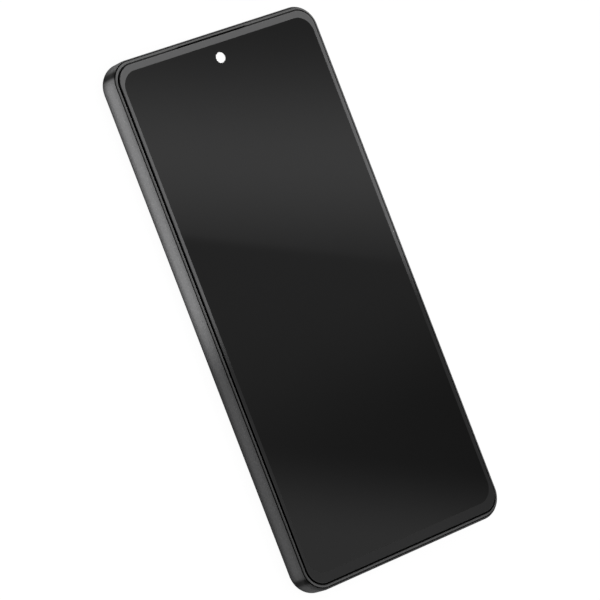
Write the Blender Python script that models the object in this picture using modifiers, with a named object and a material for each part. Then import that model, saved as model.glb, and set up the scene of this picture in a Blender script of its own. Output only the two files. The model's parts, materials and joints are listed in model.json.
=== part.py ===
"""A smartphone lying on its back, screen up, taken down to its separate pieces.

Metres. +X is the phone's right, +Y its top edge, +Z points out of the screen.
The origin is under the middle of the body, level with the camera island's outer face.
"""

import math

import bmesh
import bpy

MM = 0.001

# Body outline and thickness
BODY_WIDTH = 75.2 * MM
BODY_LENGTH = 160.2 * MM
BODY_THICKNESS = 8.5 * MM
BODY_CORNER = 7.2 * MM
FRONT_ROUND = 2.0 * MM
FRONT_ROUND_DROP = 2.1 * MM
BACK_ROUND = 2.5 * MM
ISLAND_RISE = 0.8 * MM

# Joints between the outer pieces
SEAT = 0.1 * MM
GLASS_GAP = 0.45 * MM
RIM_SEAM = 0.28 * MM
RIM_SEAM_INSET = 0.56 * MM
RIM_LEDGE_WIDTH = 0.98 * MM
WALL = 1.4 * MM
BAND_LIP, BAND_SHELF, BAND_LEDGE = 1.3 * MM, 2.9 * MM, 2.3 * MM
COVER_THICKNESS, COVER_GLUE_ROOM = 0.8 * MM, 0.35 * MM
GLUE_THICKNESS = 0.15 * MM

# Screen glass
GLASS_WIDTH = 71.86 * MM
GLASS_LENGTH = 156.66 * MM
GLASS_CORNER = 5.5 * MM
GLASS_Y = 0.12 * MM
GLASS_THICKNESS = 0.7 * MM
GLASS_EDGE_ROUND = 0.3 * MM
GLASS_PROUD = 0.26 * MM
CAMERA_WINDOW_RADIUS, CAMERA_WINDOW_GAP = 1.6 * MM, 0.08 * MM
CAMERA_WINDOW_DROP = 0.04 * MM
CAMERA_Y = GLASS_Y + 72.13 * MM
PANEL_HALF_WIDTH, PANEL_HALF_LENGTH, PANEL_CORNER = 34.7 * MM, 76.9 * MM, 5.0 * MM
PANEL_CAMERA_RADIUS, PLATE_CAMERA_RADIUS = 2.3 * MM, 2.6 * MM
GLASS_GLUE_OUTER, GLASS_GLUE_INNER = 0.1 * MM, 0.9 * MM

# Earpiece slot over the glass and the grille in it
EARPIECE_LENGTH = 25.2 * MM
EARPIECE_SLOT_LOW_Y, EARPIECE_SLOT_HIGH_Y = GLASS_Y + 77.0 * MM, GLASS_Y + 78.7 * MM
GRILLE_LOW_Y, GRILLE_HIGH_Y = GLASS_Y + 78.26 * MM, GLASS_Y + 78.64 * MM
GRILLE_LOW, GRILLE_HIGH = 7.75 * MM, 7.9 * MM
GRILLE_SLOTS, GRILLE_SLOT_HALF, GRILLE_EDGE = 16, 0.5 * MM, 0.1 * MM

# Heights that the layers share
BACK_Z = ISLAND_RISE
FRONT_Z = BACK_Z + BODY_THICKNESS
GLASS_LOW = FRONT_Z - GLASS_THICKNESS
PANEL_LOW, PANEL_HIGH = 7.9 * MM, GLASS_LOW - SEAT
LEDGE_LOW, LEDGE_HIGH = 7.6 * MM, 8.1 * MM
PLATE_LOW, PLATE_HIGH = 7.0 * MM, 7.5 * MM
BOARD_LOW, BOARD_HIGH = 5.9 * MM, 6.7 * MM
BACKING_LOW, BACKING_HIGH = 7.6 * MM, 7.8 * MM
COVER_HIGH = BACK_Z + COVER_THICKNESS
BAND_SHELF_HIGH, BAND_LEDGE_LOW = 3.0 * MM, 6.3 * MM
BRACKET_LOW, BRACKET_HIGH = 2.75 * MM, 3.4 * MM
SCREW_HEAD_LOW = 2.25 * MM
CAMERA_TOP = PLATE_LOW - 0.15 * MM
PORT_Z = 4.7 * MM

# Keys on the right side
KEY_HEIGHT = 2.0 * MM
KEY_PROUD = 0.45 * MM
KEY_CLEARANCE = 0.15 * MM
KEY_CROWN, KEY_CROWN_EASE, KEY_CROWN_DROP = 0.25 * MM, 0.1 * MM, 0.08 * MM
KEY_FLANGE, KEY_FLANGE_GROW, KEY_FLANGE_GAP = 0.5 * MM, 0.35 * MM, 0.3 * MM
PLUNGER_RADIUS, PLUNGER_REACH = 0.7 * MM, 0.2 * MM
KEY_BOARD_FACE_X = 34.4 * MM
POWER_Y, POWER_LENGTH = 15.0 * MM, 11.0 * MM
VOLUME_Y, VOLUME_LENGTH = 38.0 * MM, 22.0 * MM
SWITCH_SPREAD = 7.0 * MM

# Card tray in the top edge
TRAY_X = -20.0 * MM
TRAY_FACE_WIDTH, TRAY_FACE_HEIGHT = 17.0 * MM, 2.2 * MM
TRAY_FACE_DEPTH, TRAY_CHAMFER = 1.3 * MM, 0.12 * MM
TRAY_WIDTH, TRAY_DEPTH, TRAY_THICKNESS = 15.0 * MM, 17.0 * MM, 1.0 * MM
TRAY_SEAT_SIDE, TRAY_BAR, TRAY_ROOT = 1.4 * MM, 1.2 * MM, 0.5 * MM
PIN_HOLE_RADIUS, PIN_HOLE_OFFSET, PIN_HOLE_DEPTH = 0.45 * MM, 6.9 * MM, 3.0 * MM
READER_CLEARANCE, READER_HEADROOM, READER_WALL, READER_ROOF = 0.35 * MM, 0.25 * MM, 0.4 * MM, 0.25 * MM
READER_SETBACK, READER_SPARE_DEPTH = 0.9 * MM, 0.6 * MM
READER_INNER_CORNER, READER_OUTER_CORNER = 0.2 * MM, 0.3 * MM

# Socket, loudspeaker holes and microphone holes in the end edges
USB_MOUTH_WIDTH, USB_MOUTH_HEIGHT = 8.34 * MM, 2.56 * MM
USB_WALL, USB_DEPTH, USB_BACK, USB_SETBACK = 0.3 * MM, 7.3 * MM, 0.6 * MM, 0.15 * MM
TONGUE_HALF_WIDTH, TONGUE_HALF_HEIGHT, TONGUE_CORNER = 3.35 * MM, 0.35 * MM, 0.1 * MM
TONGUE_SETBACK, TONGUE_NOSE, TONGUE_TAPER = 0.6 * MM, 0.3 * MM, 0.2 * MM
PORT_CUT = (-2.5 * MM, 1.0 * MM)
SPEAKER_HOLES, SPEAKER_PITCH, SPEAKER_HOLE_RADIUS = 6, 2.2 * MM, 0.65 * MM
SPEAKER_X = 17.5 * MM
MESH_HALF_WIDTH, MESH_HALF_HEIGHT, MESH_GAP, MESH_BACK = 7.2 * MM, 1.1 * MM, 0.15 * MM, 0.35 * MM
MICROPHONE_RADIUS = 0.5 * MM
TOP_MICROPHONE_X, BOTTOM_MICROPHONE_X = 24.0 * MM, -11.0 * MM

# Camera island on the back
ISLAND_X, ISLAND_Y = 21.5 * MM, 48.75 * MM
ISLAND_HALF_WIDTH, ISLAND_HALF_LENGTH, ISLAND_CORNER = 11.5 * MM, 18.75 * MM, 6.0 * MM
ISLAND_FLANGE = 0.9 * MM
MAIN_LENS = (26.2 * MM, 58.6 * MM, 5.0 * MM)
ULTRAWIDE_LENS = (26.2 * MM, 43.5 * MM, 4.4 * MM)
MACRO_LENS = (15.4 * MM, 51.0 * MM, 2.8 * MM)
FLASH = (15.4 * MM, 60.5 * MM, 1.9 * MM)
ISLAND_FLANGE_HIGH = COVER_HIGH + 0.45 * MM
ISLAND_EDGE = ((0, 0.4 * MM), (-0.1 * MM, 0.16 * MM), (-0.24 * MM, 0.04 * MM), (-0.4 * MM, 0))
WINDOW_LOW, WINDOW_HIGH, WINDOW_SEAT, WINDOW_CHAMFER = 0.2 * MM, 0.85 * MM, 0.6 * MM, 0.1 * MM
BORE_HIGH = 4.0 * MM

# Rear cameras, as sizes about each lens
MAIN_HOUSING_HALF, MAIN_HOUSING_CORNER, MAIN_HOUSING_LOW = 5.6 * MM, 1.2 * MM, 2.6 * MM
MAIN_BARREL_INSET, MAIN_BORE_GAP, MAIN_BORE_END = 1.2 * MM, 0.25 * MM, 5.6 * MM
LENS_LOW, MAIN_BARREL_ROOM = 1.35 * MM, 0.3 * MM
BARREL_STEP, BARREL_SHOULDER, BARREL_RING = 0.5 * MM, 0.9 * MM, 0.3 * MM
LENS_DISH = ((1.9 * MM, 0), (1.5 * MM, 0.5 * MM), (0, 0.7 * MM))
SMALL_CAMERAS = (("ultrawide_camera", ULTRAWIDE_LENS, 4.7 * MM, 2.9 * MM),
                 ("macro_camera", MACRO_LENS, 3.0 * MM, 3.2 * MM))
SMALL_CAMERA_CORNER, NOSE_INSET, NOSE_OVERLAP = 0.8 * MM, 1.0 * MM, 0.5 * MM
NOSE_DISH = ((0.6, 0), (0.4, 0.4 * MM), (0, 0.5 * MM))
FLASH_HALF, FLASH_CORNER, FLASH_LOW = 1.7 * MM, 0.3 * MM, 2.5 * MM
FLASH_DOME = ((0, 3.0), (1.1, 3.0), (1.1, 1.7), (0.7, 1.35), (0, 1.25))
FRONT_CAMERA_HALF, FRONT_CAMERA_CORNER, FRONT_CAMERA_LOW = (3.5 * MM, 3.0 * MM), 0.6 * MM, 4.4 * MM
FRONT_BARREL = ((0, 8.05), (0.8, 8.15), (1.2, 8.35), (1.7, 8.35), (2.1, 7.9), (2.1, 6.4), (0, 6.4))

# Outlines of the inner plates, in millimetres
MAIN_BOARD = ((-34.3, 33), (10.5, 33), (10.5, 55.4), (19.4, 55.4), (19.4, 66.2), (34.3, 66.2), (34.3, 71.5),
              (29.5, 77), (18.6, 77), (18.6, 68.8), (-4.4, 68.8), (-4.4, 77), (-29.5, 77), (-34.3, 71.5))
SUB_BOARD = ((-34.3, -53.5), (-34.3, -71.5), (-29.5, -77), (-5.2, -77), (-5.2, -70.6), (5.2, -70.6),
             (5.2, -77), (8.6, -77), (8.6, -53.5))
UPPER_BRACKET = ((-34.0, 34.2), (8.4, 34.2), (8.4, 68.0), (-3.6, 68.0), (-3.6, 76.0), (-29.0, 76.0),
                 (-34.0, 71.0))
LOWER_BRACKET = ((-34.0, -54.2), (-34.0, -71.0), (-29.0, -76.0), (-5.2, -76.0), (-5.2, -70.8), (5.2, -70.8),
                 (5.2, -76.0), (8.7, -76.0), (8.7, -54.2))
DISPLAY_BACKING = ((-34.2, 71.5), (-34.2, -71.5), (-30, -75.8), (-11, -75.8), (-11, -64), (11, -64),
                   (11, -75.8), (30, -75.8), (34.2, -71.5), (34.2, 71.5), (30, 75.8), (-30, 75.8))
SENSOR_WINDOW = ((-4.7, -54.7), (4.7, -45.3))
EARPIECE_PORT = ((5.0, 76.6), (12.4, 78.0))
DISPLAY_FLEX_PORT = ((-9.5, -68.6), (9.5, -66.4))
LOUDSPEAKER = ((9.2, -57.5), (9.2, -76.6), (29.0, -76.6), (33.9, -71.5), (33.9, -57.5))
LOUDSPEAKER_LOW, LOUDSPEAKER_HIGH = 2.6 * MM, 6.8 * MM
DIAPHRAGM_HALF, DIAPHRAGM_CORNER, DIAPHRAGM_DEPTH = (7.5 * MM, 4.5 * MM), 2.0 * MM, 0.6 * MM
DIAPHRAGM_CENTRE = (21.5 * MM, -66.0 * MM)
COIL_CENTRE = (-3.0 * MM, 4.0 * MM)
COIL_HALF, COIL_CORNER, COIL_INNER_HALF, COIL_INNER_CORNER = 20.0 * MM, 5.0 * MM, 14.0 * MM, 3.0 * MM
PROTECTION_STRIP = ((-20.0, 28.0), (14.0, 32.2))
STRIP_LOW, STRIP_HIGH = 4.2 * MM, 6.3 * MM

# Inner blocks, in millimetres: finish, lowest corner, highest corner, edge chamfer, corner radius
INNER_BLOCKS = {
    "fingerprint_sensor": ("black_plastic", (-4.4, -54.4, 7.58), (4.4, -45.6, 7.84), 0.05, 0.6),
    "earpiece_speaker": ("black_plastic", (4.6, 70.0, 4.0), (17.8, 77.5, 6.85), 0.3, 1.2),
    "side_key_board": ("flex_film", (34.0, 8.0, 3.3), (34.4, 50.0, 6.1), 0.05, 0.15),
    "processor_shield": ("shield_steel", (-28, 39.2, 4.1), (2, 56, 5.8), 0.2, 0.8),
    "radio_shield": ("shield_steel", (-9.4, 58, 4.1), (2.6, 67.6, 5.8), 0.2, 0.8),
    "top_microphone": ("shield_steel", (22.2, 74.0, 4.2), (25.8, 76.6, 5.8), 0.1, 0.3),
    "battery": ("pouch_foil", (-31, -50, 2.6), (29, 30, 6.8), 0.9, 2.4),
    "vibration_motor": ("shield_steel", (-32, -73, 3.6), (-22, -60, 5.8), 0.2, 1.0),
    "bottom_microphone": ("shield_steel", (-12.8, -76.6, 4.2), (-9.2, -74.0, 5.8), 0.1, 0.3),
}
MESH_EDGE, MESH_CORNER = 0.02 * MM, 0.05 * MM

# Flat cables, as (y, z) centre lines in millimetres, and the aerial cable
FLEX_THICKNESS = 0.12 * MM
DISPLAY_FLEX_WIDTH, MAIN_FLEX_WIDTH = 18.0 * MM, 8.8 * MM
DISPLAY_FLEX = ((-75.0, 7.7), (-68.6, 7.7), (-67.9, 7.6), (-67.5, 7.2), (-67.1, 6.95), (-66.4, 6.85),
                (-60.0, 6.85))
MAIN_FLEX = ((38.0, 5.7), (34.4, 5.7), (33.9, 5.55), (33.7, 5.1), (33.4, 2.96), (33.2, 2.51), (32.7, 2.36),
             (-51.0, 2.36), (-51.5, 2.51), (-51.7, 2.96), (-52.0, 5.1), (-52.2, 5.55), (-52.7, 5.7),
             (-57.0, 5.7))
AERIAL_CABLE = ((-31.0, -54.0, 5.3), (-32.2, -52.0, 5.2), (-32.9, -48.0, 5.0), (-32.9, 28.0, 5.0),
                (-32.6, 32.0, 5.2), (-31.6, 37.0, 5.3))
AERIAL_RADIUS = 0.4 * MM

# Screws that hold the two brackets, the boards and the plate together
UPPER_SCREWS = ((-25.5, 36.3), (6.7, 36.3), (-31.6, 66.5), (5.6, 65.0))
LOWER_SCREWS = ((-32.0, -57.0), (6.2, -56.5), (-17.5, -74.0), (6.9, -74.0))
SCREW_HEAD_RADIUS, SCREW_SHANK_RADIUS, SCREW_HOLE_RADIUS = 1.1 * MM, 0.55 * MM, 0.75 * MM
SCREW_SOCKET_RADIUS, SCREW_SOCKET_DEPTH = 0.4 * MM, 0.25 * MM
SCREW_EDGE, SCREW_POINT, SCREW_TIP_DROP = 0.1 * MM, (0.15 * MM, 0.3 * MM), 0.2 * MM
PILLAR_RADIUS = 1.5 * MM

# Domes of the key switches, as (radius, height) points
SWITCH_DOME = ((0, 0.4), (0.5, 0.36), (0.9, 0.22), (1.1, 0), (0, 0))

# Smoothness of the facets
CORNER_STEPS = 8
ARC_STEPS = 5
SMALL_CORNER_STEPS = 3
ROUND_STEPS = 24
SMALL_ROUND_STEPS = 10
AERIAL_STEPS = 2
SHARP_ANGLE = math.radians(35)
WELD = 0.002 * MM
STADIUM_FLAT = 0.02 * MM

# Turns that lay a piece built along local Z into one of the edges
FACING_RIGHT = (math.pi / 2, 0, math.pi / 2)
FACING_TOP = (math.pi / 2, 0, math.pi)
FACING_BOTTOM = (math.pi / 2, 0, 0)

# Finishes: base colour, roughness, metallic
FINISHES = {
    "screen_glass": ((0.012, 0.012, 0.013), 0.05, 0.0),
    "clear_lens": ((0.02, 0.02, 0.025), 0.05, 0.0),
    "white_window": ((0.95, 0.95, 0.95), 0.3, 0.0),
    "satin_metal": ((0.25, 0.25, 0.26), 0.4, 1.0),
    "rim_plastic": ((0.05, 0.05, 0.05), 0.35, 0.0),
    "cover_glass_matte": ((0.06, 0.06, 0.065), 0.4, 0.0),
    "black_plastic": ((0.02, 0.02, 0.02), 0.5, 0.0),
    "black_foam": ((0.015, 0.015, 0.015), 0.9, 0.0),
    "pouch_foil": ((0.09, 0.09, 0.1), 0.45, 0.0),
    "circuit_board": ((0.01, 0.06, 0.05), 0.5, 0.0),
    "flex_film": ((0.18, 0.09, 0.02), 0.45, 0.0),
    "shield_steel": ((0.6, 0.6, 0.6), 0.35, 1.0),
    "cast_alloy": ((0.4, 0.4, 0.41), 0.55, 1.0),
    "led_yellow": ((0.8, 0.7, 0.3), 0.4, 0.0),
}


def clear_scene():
    for item in list(bpy.data.objects):
        bpy.data.objects.remove(item, do_unlink=True)


def new_collection(name):
    collection = bpy.data.collections.new(name)
    bpy.context.scene.collection.children.link(collection)
    return collection


def new_material(name):
    colour, roughness, metallic = FINISHES[name]
    material = bpy.data.materials.new(name)
    material.use_nodes = True
    shader = material.node_tree.nodes["Principled BSDF"]
    shader.inputs["Base Color"].default_value = (*colour, 1)
    shader.inputs["Roughness"].default_value = roughness
    shader.inputs["Metallic"].default_value = metallic
    return material


clear_scene()
PIECES = new_collection("smartphone")
CUTTERS = new_collection("cutters")
MATERIALS = {name: new_material(name) for name in FINISHES}
PHONE = bpy.data.objects.new("phone_origin", None)
PIECES.objects.link(PHONE)


# Outlines

def arc(centre, radius, start, stop, steps):
    """Points on a circle from one angle to another, both ends included."""
    angles = [start + (stop - start) * step / steps for step in range(steps + 1)]
    return [(centre[0] + radius * math.cos(a), centre[1] + radius * math.sin(a)) for a in angles]


def rounded_rectangle(half_width, half_length, radius, centre=(0, 0), steps=SMALL_CORNER_STEPS):
    points = []
    for quarter, (side_x, side_y) in enumerate(((1, 1), (-1, 1), (-1, -1), (1, -1))):
        middle = (centre[0] + side_x * (half_width - radius), centre[1] + side_y * (half_length - radius))
        points += arc(middle, radius, quarter * math.pi / 2, (quarter + 1) * math.pi / 2, steps)
    return points


def circle(radius, centre=(0, 0), steps=SMALL_ROUND_STEPS):
    return arc(centre, radius, 0, 2 * math.pi, steps)[:-1]


def stadium(width, height, steps=SMALL_CORNER_STEPS + 1):
    """A slot outline with fully round ends, as four quarter rounds."""
    return rounded_rectangle(width / 2, height / 2, height / 2 - STADIUM_FLAT, steps=steps)


def rectangle(low, high):
    return [(low[0], low[1]), (high[0], low[1]), (high[0], high[1]), (low[0], high[1])]


def in_mm(*points):
    return [(x * MM, y * MM) for x, y in points]


def at_height(outline, z):
    return [(x, y, z) for x, y in outline]


def body_section(inset, z):
    """The body's outline, drawn in by an inset, at a height."""
    half_width, half_length = BODY_WIDTH / 2 - inset, BODY_LENGTH / 2 - inset
    outline = rounded_rectangle(half_width, half_length, BODY_CORNER - inset, steps=CORNER_STEPS)
    return at_height(outline, z)


def glass_section(grow, z):
    """The glass's outline, let out by an amount, at a height."""
    half_width, half_length = GLASS_WIDTH / 2 + grow, GLASS_LENGTH / 2 + grow
    outline = rounded_rectangle(half_width, half_length, GLASS_CORNER + grow, (0, GLASS_Y), CORNER_STEPS)
    return at_height(outline, z)


def flat(section):
    """A section's outline without its height."""
    return [(x, y) for x, y, _ in section]


def front_round_height(inset):
    """Height of the body's front round at a distance in from the side wall."""
    across = FRONT_ROUND - inset
    return FRONT_Z - FRONT_ROUND_DROP + math.sqrt(FRONT_ROUND ** 2 - across ** 2)


# Shapes

def placed(name, data, finish, origin=(0, 0, 0), turn=(0, 0, 0)):
    """A mesh as a named piece with its finish, parented to the phone's origin."""
    piece = bpy.data.objects.new(name, data)
    piece.location = origin
    piece.rotation_euler = turn
    if finish:
        data.materials.clear()
        data.materials.append(MATERIALS[finish])
        piece.parent = PHONE
        PIECES.objects.link(piece)
    else:
        piece.hide_render = True
        piece.display_type = "WIRE"
        CUTTERS.objects.link(piece)
    data.shade_smooth()
    data.set_sharp_from_angle(angle=SHARP_ANGLE)
    return piece


def loft(name, finish, sections, origin=(0, 0, 0), turn=(0, 0, 0), ring=False):
    """A solid through outlines with equal point counts: capped at its ends, or a closed ring."""
    build = bmesh.new()
    place = build.verts.layers.int.new("place")
    corners = [build.verts.new(point) for point in sections[0]]
    for index, corner in enumerate(corners):
        corner[place] = index
    edges = [build.edges.new((corners[i - 1], corners[i])) for i in range(len(corners))]
    first_edges = edges
    for section in sections[1:] + sections[:1] if ring else sections[1:]:
        grown = bmesh.ops.extrude_edge_only(build, edges=edges)["geom"]
        for corner in (part for part in grown if isinstance(part, bmesh.types.BMVert)):
            corner.co = section[corner[place]]
        edges = [part for part in grown if isinstance(part, bmesh.types.BMEdge)]
    if ring:
        bmesh.ops.remove_doubles(build, verts=build.verts, dist=WELD)
    else:
        for end in (first_edges, edges):
            bmesh.ops.contextual_create(build, geom=end)
    bmesh.ops.recalc_face_normals(build, faces=build.faces)
    data = bpy.data.meshes.new(name)
    build.to_mesh(data)
    build.free()
    return placed(name, data, finish, origin, turn)


def plate(name, finish, outlines, low, high, origin=(0, 0, 0), turn=(0, 0, 0)):
    """A flat piece between two heights: its outline first, then the outlines of its holes."""
    curve = bpy.data.curves.new(name, "CURVE")
    curve.dimensions = "2D"
    curve.fill_mode = "BOTH"
    curve.extrude = (high - low) / 2
    for outline in outlines:
        spline = curve.splines.new("POLY")
        spline.points.add(len(outline) - 1)
        for point, (x, y) in zip(spline.points, outline):
            point.co = (x, y, 0, 1)
        spline.use_cyclic_u = True
    return meshed(name, finish, curve, (origin[0], origin[1], origin[2] + (low + high) / 2), turn)


def meshed(name, finish, curve, origin, turn=(0, 0, 0)):
    """The curve's surface as a mesh piece, with its caps welded on."""
    guide = bpy.data.objects.new(name, curve)
    CUTTERS.objects.link(guide)
    graph = bpy.context.evaluated_depsgraph_get()
    data = bpy.data.meshes.new_from_object(guide.evaluated_get(graph), depsgraph=graph)
    bpy.data.objects.remove(guide, do_unlink=True)
    build = bmesh.new()
    build.from_mesh(data)
    bmesh.ops.remove_doubles(build, verts=build.verts, dist=WELD)
    bmesh.ops.recalc_face_normals(build, faces=build.faces)
    build.to_mesh(data)
    build.free()
    return placed(name, finish=finish, data=data, origin=origin, turn=turn)


def turned(name, finish, profile, origin=(0, 0, 0), turn=(0, 0, 0), steps=ROUND_STEPS):
    """A turned piece: a profile of (radius, height) points, top to bottom, spun about local Z."""
    build = bmesh.new()
    corners = [build.verts.new((radius, 0, height)) for radius, height in profile]
    for upper, lower in zip(corners, corners[1:]):
        build.edges.new((upper, lower))
    data = bpy.data.meshes.new(name)
    build.to_mesh(data)
    build.free()
    piece = placed(name, data, finish, origin, turn)
    spin = piece.modifiers.new("spin", "SCREW")
    spin.steps = spin.render_steps = steps
    spin.use_merge_vertices = True
    spin.merge_threshold = WELD
    return piece


def disc_profile(radius, low, high):
    return [(0, high), (radius, high), (radius, low), (0, low)]


def rounded_block(name, finish, low, high, edge, corner):
    """A box between two corners with round upright corners and chamfered top and bottom edges."""
    centre = ((low[0] + high[0]) / 2, (low[1] + high[1]) / 2)
    half = ((high[0] - low[0]) / 2, (high[1] - low[1]) / 2)
    levels = ((edge, low[2]), (0, low[2] + edge), (0, high[2] - edge), (edge, high[2]))
    sections = [
        at_height(rounded_rectangle(half[0] - inset, half[1] - inset, corner - inset), z)
        for inset, z in levels
    ]
    return loft(name, finish, sections, (*centre, 0))


def inner_block(name):
    """One of the listed inner blocks."""
    finish, low, high, edge, corner = INNER_BLOCKS[name]
    low, high = ([value * MM for value in corner_mm] for corner_mm in (low, high))
    return rounded_block(name, finish, low, high, edge * MM, corner * MM)


def combine(piece, tool, operation):
    """Cut a tool out of a piece, or join it on, with the tool kept as a hidden guide."""
    change = piece.modifiers.new(tool.name, "BOOLEAN")
    change.operation = operation
    change.object = tool
    change.solver = "EXACT"


def cut_out(piece, tool):
    combine(piece, tool, "DIFFERENCE")


def join_on(piece, tool):
    combine(piece, tool, "UNION")


def ribbon(name, finish, path, width):
    """A flat cable: a centre line of (y, z) points, given a thickness and extruded along X."""
    upper, lower, half = [], [], FLEX_THICKNESS / 2
    for index, (y, z) in enumerate(path):
        before, after = path[max(index - 1, 0)], path[min(index + 1, len(path) - 1)]
        along = math.hypot(after[0] - before[0], after[1] - before[1])
        normal = ((before[1] - after[1]) / along, (after[0] - before[0]) / along)
        upper.append((y + normal[0] * half, z + normal[1] * half))
        lower.append((y - normal[0] * half, z - normal[1] * half))
    return plate(name, finish, [upper + lower[::-1]], -width / 2, width / 2, turn=FACING_RIGHT)


# Outer frame

def make_side_band():
    """The metal band: front round, flat wall, back round, and the ledges on its inside."""
    front_z = FRONT_Z - FRONT_ROUND_DROP
    seam_angle = math.acos(1 - RIM_SEAM_INSET / FRONT_ROUND)
    front = arc((FRONT_ROUND, front_z), FRONT_ROUND, math.pi - seam_angle, math.pi, ARC_STEPS)
    lip_z = COVER_HIGH + SEAT
    back_z = BACK_Z + BACK_ROUND
    lip_angle = math.asin((back_z - lip_z) / BACK_ROUND)
    back = arc((BACK_ROUND, back_z), BACK_ROUND, math.pi, math.pi + lip_angle, ARC_STEPS)
    rebate_z, ledge_high, rim_seat = COVER_HIGH + COVER_GLUE_ROOM, PLATE_LOW - SEAT, LEDGE_LOW - SEAT
    inside = [
        (BAND_LIP, lip_z), (BAND_LIP, rebate_z), (BAND_SHELF, rebate_z), (BAND_SHELF, BAND_SHELF_HIGH),
        (WALL, BAND_SHELF_HIGH), (WALL, BAND_LEDGE_LOW), (BAND_LEDGE, BAND_LEDGE_LOW),
        (BAND_LEDGE, ledge_high), (WALL, ledge_high), (WALL, rim_seat), (RIM_SEAM_INSET, rim_seat),
    ]
    sections = [body_section(inset, z) for inset, z in front + back + inside]
    band = loft("side_band", "satin_metal", sections, ring=True)
    for name, y, length in (("power_slot", POWER_Y, POWER_LENGTH), ("volume_slot", VOLUME_Y, VOLUME_LENGTH)):
        outline = stadium(length + 2 * KEY_CLEARANCE, KEY_HEIGHT + 2 * KEY_CLEARANCE)
        levels = (-2 * WALL, WALL)
        at = (BODY_WIDTH / 2, y, PORT_Z)
        cut_out(band, loft(name, None, [at_height(outline, z) for z in levels], at, FACING_RIGHT))
    edge = BODY_LENGTH / 2
    tray = stadium(TRAY_FACE_WIDTH + 2 * KEY_CLEARANCE, TRAY_FACE_HEIGHT + 2 * KEY_CLEARANCE)
    at = (TRAY_X, edge, PORT_Z)
    cut_out(band, loft("tray_slot", None, [at_height(tray, z) for z in PORT_CUT], at, FACING_TOP))
    mouth = stadium(USB_MOUTH_WIDTH + 2 * USB_WALL, USB_MOUTH_HEIGHT + 2 * USB_WALL)
    at = (0, -edge, PORT_Z)
    cut_out(band, loft("usb_opening", None, [at_height(mouth, z) for z in PORT_CUT], at, FACING_BOTTOM))
    for hole in range(SPEAKER_HOLES):
        x = SPEAKER_X + (hole - (SPEAKER_HOLES - 1) / 2) * SPEAKER_PITCH
        drill = disc_profile(SPEAKER_HOLE_RADIUS, *PORT_CUT)
        at = (x, -edge, PORT_Z)
        cut_out(band, turned(f"speaker_hole_{hole}", None, drill, at, FACING_BOTTOM, SMALL_ROUND_STEPS))
    drill = disc_profile(MICROPHONE_RADIUS, *PORT_CUT)
    at = (TOP_MICROPHONE_X, edge, PORT_Z)
    cut_out(band, turned("top_sound_hole", None, drill, at, FACING_TOP, SMALL_ROUND_STEPS))
    at = (BOTTOM_MICROPHONE_X, -edge, PORT_Z)
    cut_out(band, turned("bottom_sound_hole", None, drill, at, FACING_BOTTOM, SMALL_ROUND_STEPS))


def make_front_rim():
    """The plastic rim round the glass, with the ledge that the glass is glued to."""
    outer = RIM_SEAM_INSET + RIM_SEAM
    inner_z = FRONT_Z - GLASS_PROUD
    half_way = (outer + (BODY_WIDTH - GLASS_WIDTH) / 2 - GLASS_GAP) / 2
    sections = [
        body_section(outer, LEDGE_LOW),
        body_section(outer, front_round_height(outer)),
        body_section(half_way, front_round_height(half_way)),
        glass_section(GLASS_GAP, inner_z),
        glass_section(GLASS_GAP, LEDGE_HIGH),
        glass_section(-RIM_LEDGE_WIDTH, LEDGE_HIGH),
        glass_section(-RIM_LEDGE_WIDTH, LEDGE_LOW),
    ]
    rim = loft("front_rim", "rim_plastic", sections, ring=True)
    low, high = (-EARPIECE_LENGTH / 2, EARPIECE_SLOT_LOW_Y), (EARPIECE_LENGTH / 2, EARPIECE_SLOT_HIGH_Y)
    cut_out(rim, plate("earpiece_slot", None, [rectangle(low, high)], LEDGE_LOW - MM, FRONT_Z + MM))


def make_mid_plate():
    """The inner plate that the display, boards and battery are fixed to."""
    inset = WALL + SEAT
    outline = flat(body_section(inset, 0))
    holes = [circle(PLATE_CAMERA_RADIUS, (0, CAMERA_Y), ROUND_STEPS)]
    holes += [rectangle(*in_mm(*port)) for port in (EARPIECE_PORT, DISPLAY_FLEX_PORT)]
    holes += [circle(SCREW_HOLE_RADIUS, at) for at in in_mm(*UPPER_SCREWS, *LOWER_SCREWS)]
    plate("mid_plate", "cast_alloy", [outline, *holes], PLATE_LOW, PLATE_HIGH)


# Display

def make_cover_glass():
    """The screen glass with its eased front edge and the hole for the camera window."""
    ease = GLASS_EDGE_ROUND
    levels = [(-ease * (1 - math.cos(a)), FRONT_Z - ease * (1 - math.sin(a)))
              for a in (0, math.pi / 6, math.pi / 3, math.pi / 2)]
    sections = [glass_section(0, GLASS_LOW)] + [glass_section(grow, z) for grow, z in levels]
    glass = loft("cover_glass", "screen_glass", sections)
    at = (0, CAMERA_Y, 0)
    drill = disc_profile(CAMERA_WINDOW_RADIUS + CAMERA_WINDOW_GAP, GLASS_LOW - MM, FRONT_Z + MM)
    cut_out(glass, turned("camera_window_hole", None, drill, at))
    window = disc_profile(CAMERA_WINDOW_RADIUS, GLASS_LOW + CAMERA_WINDOW_DROP, FRONT_Z - CAMERA_WINDOW_DROP)
    turned("front_camera_window", "white_window", window, at)


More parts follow.
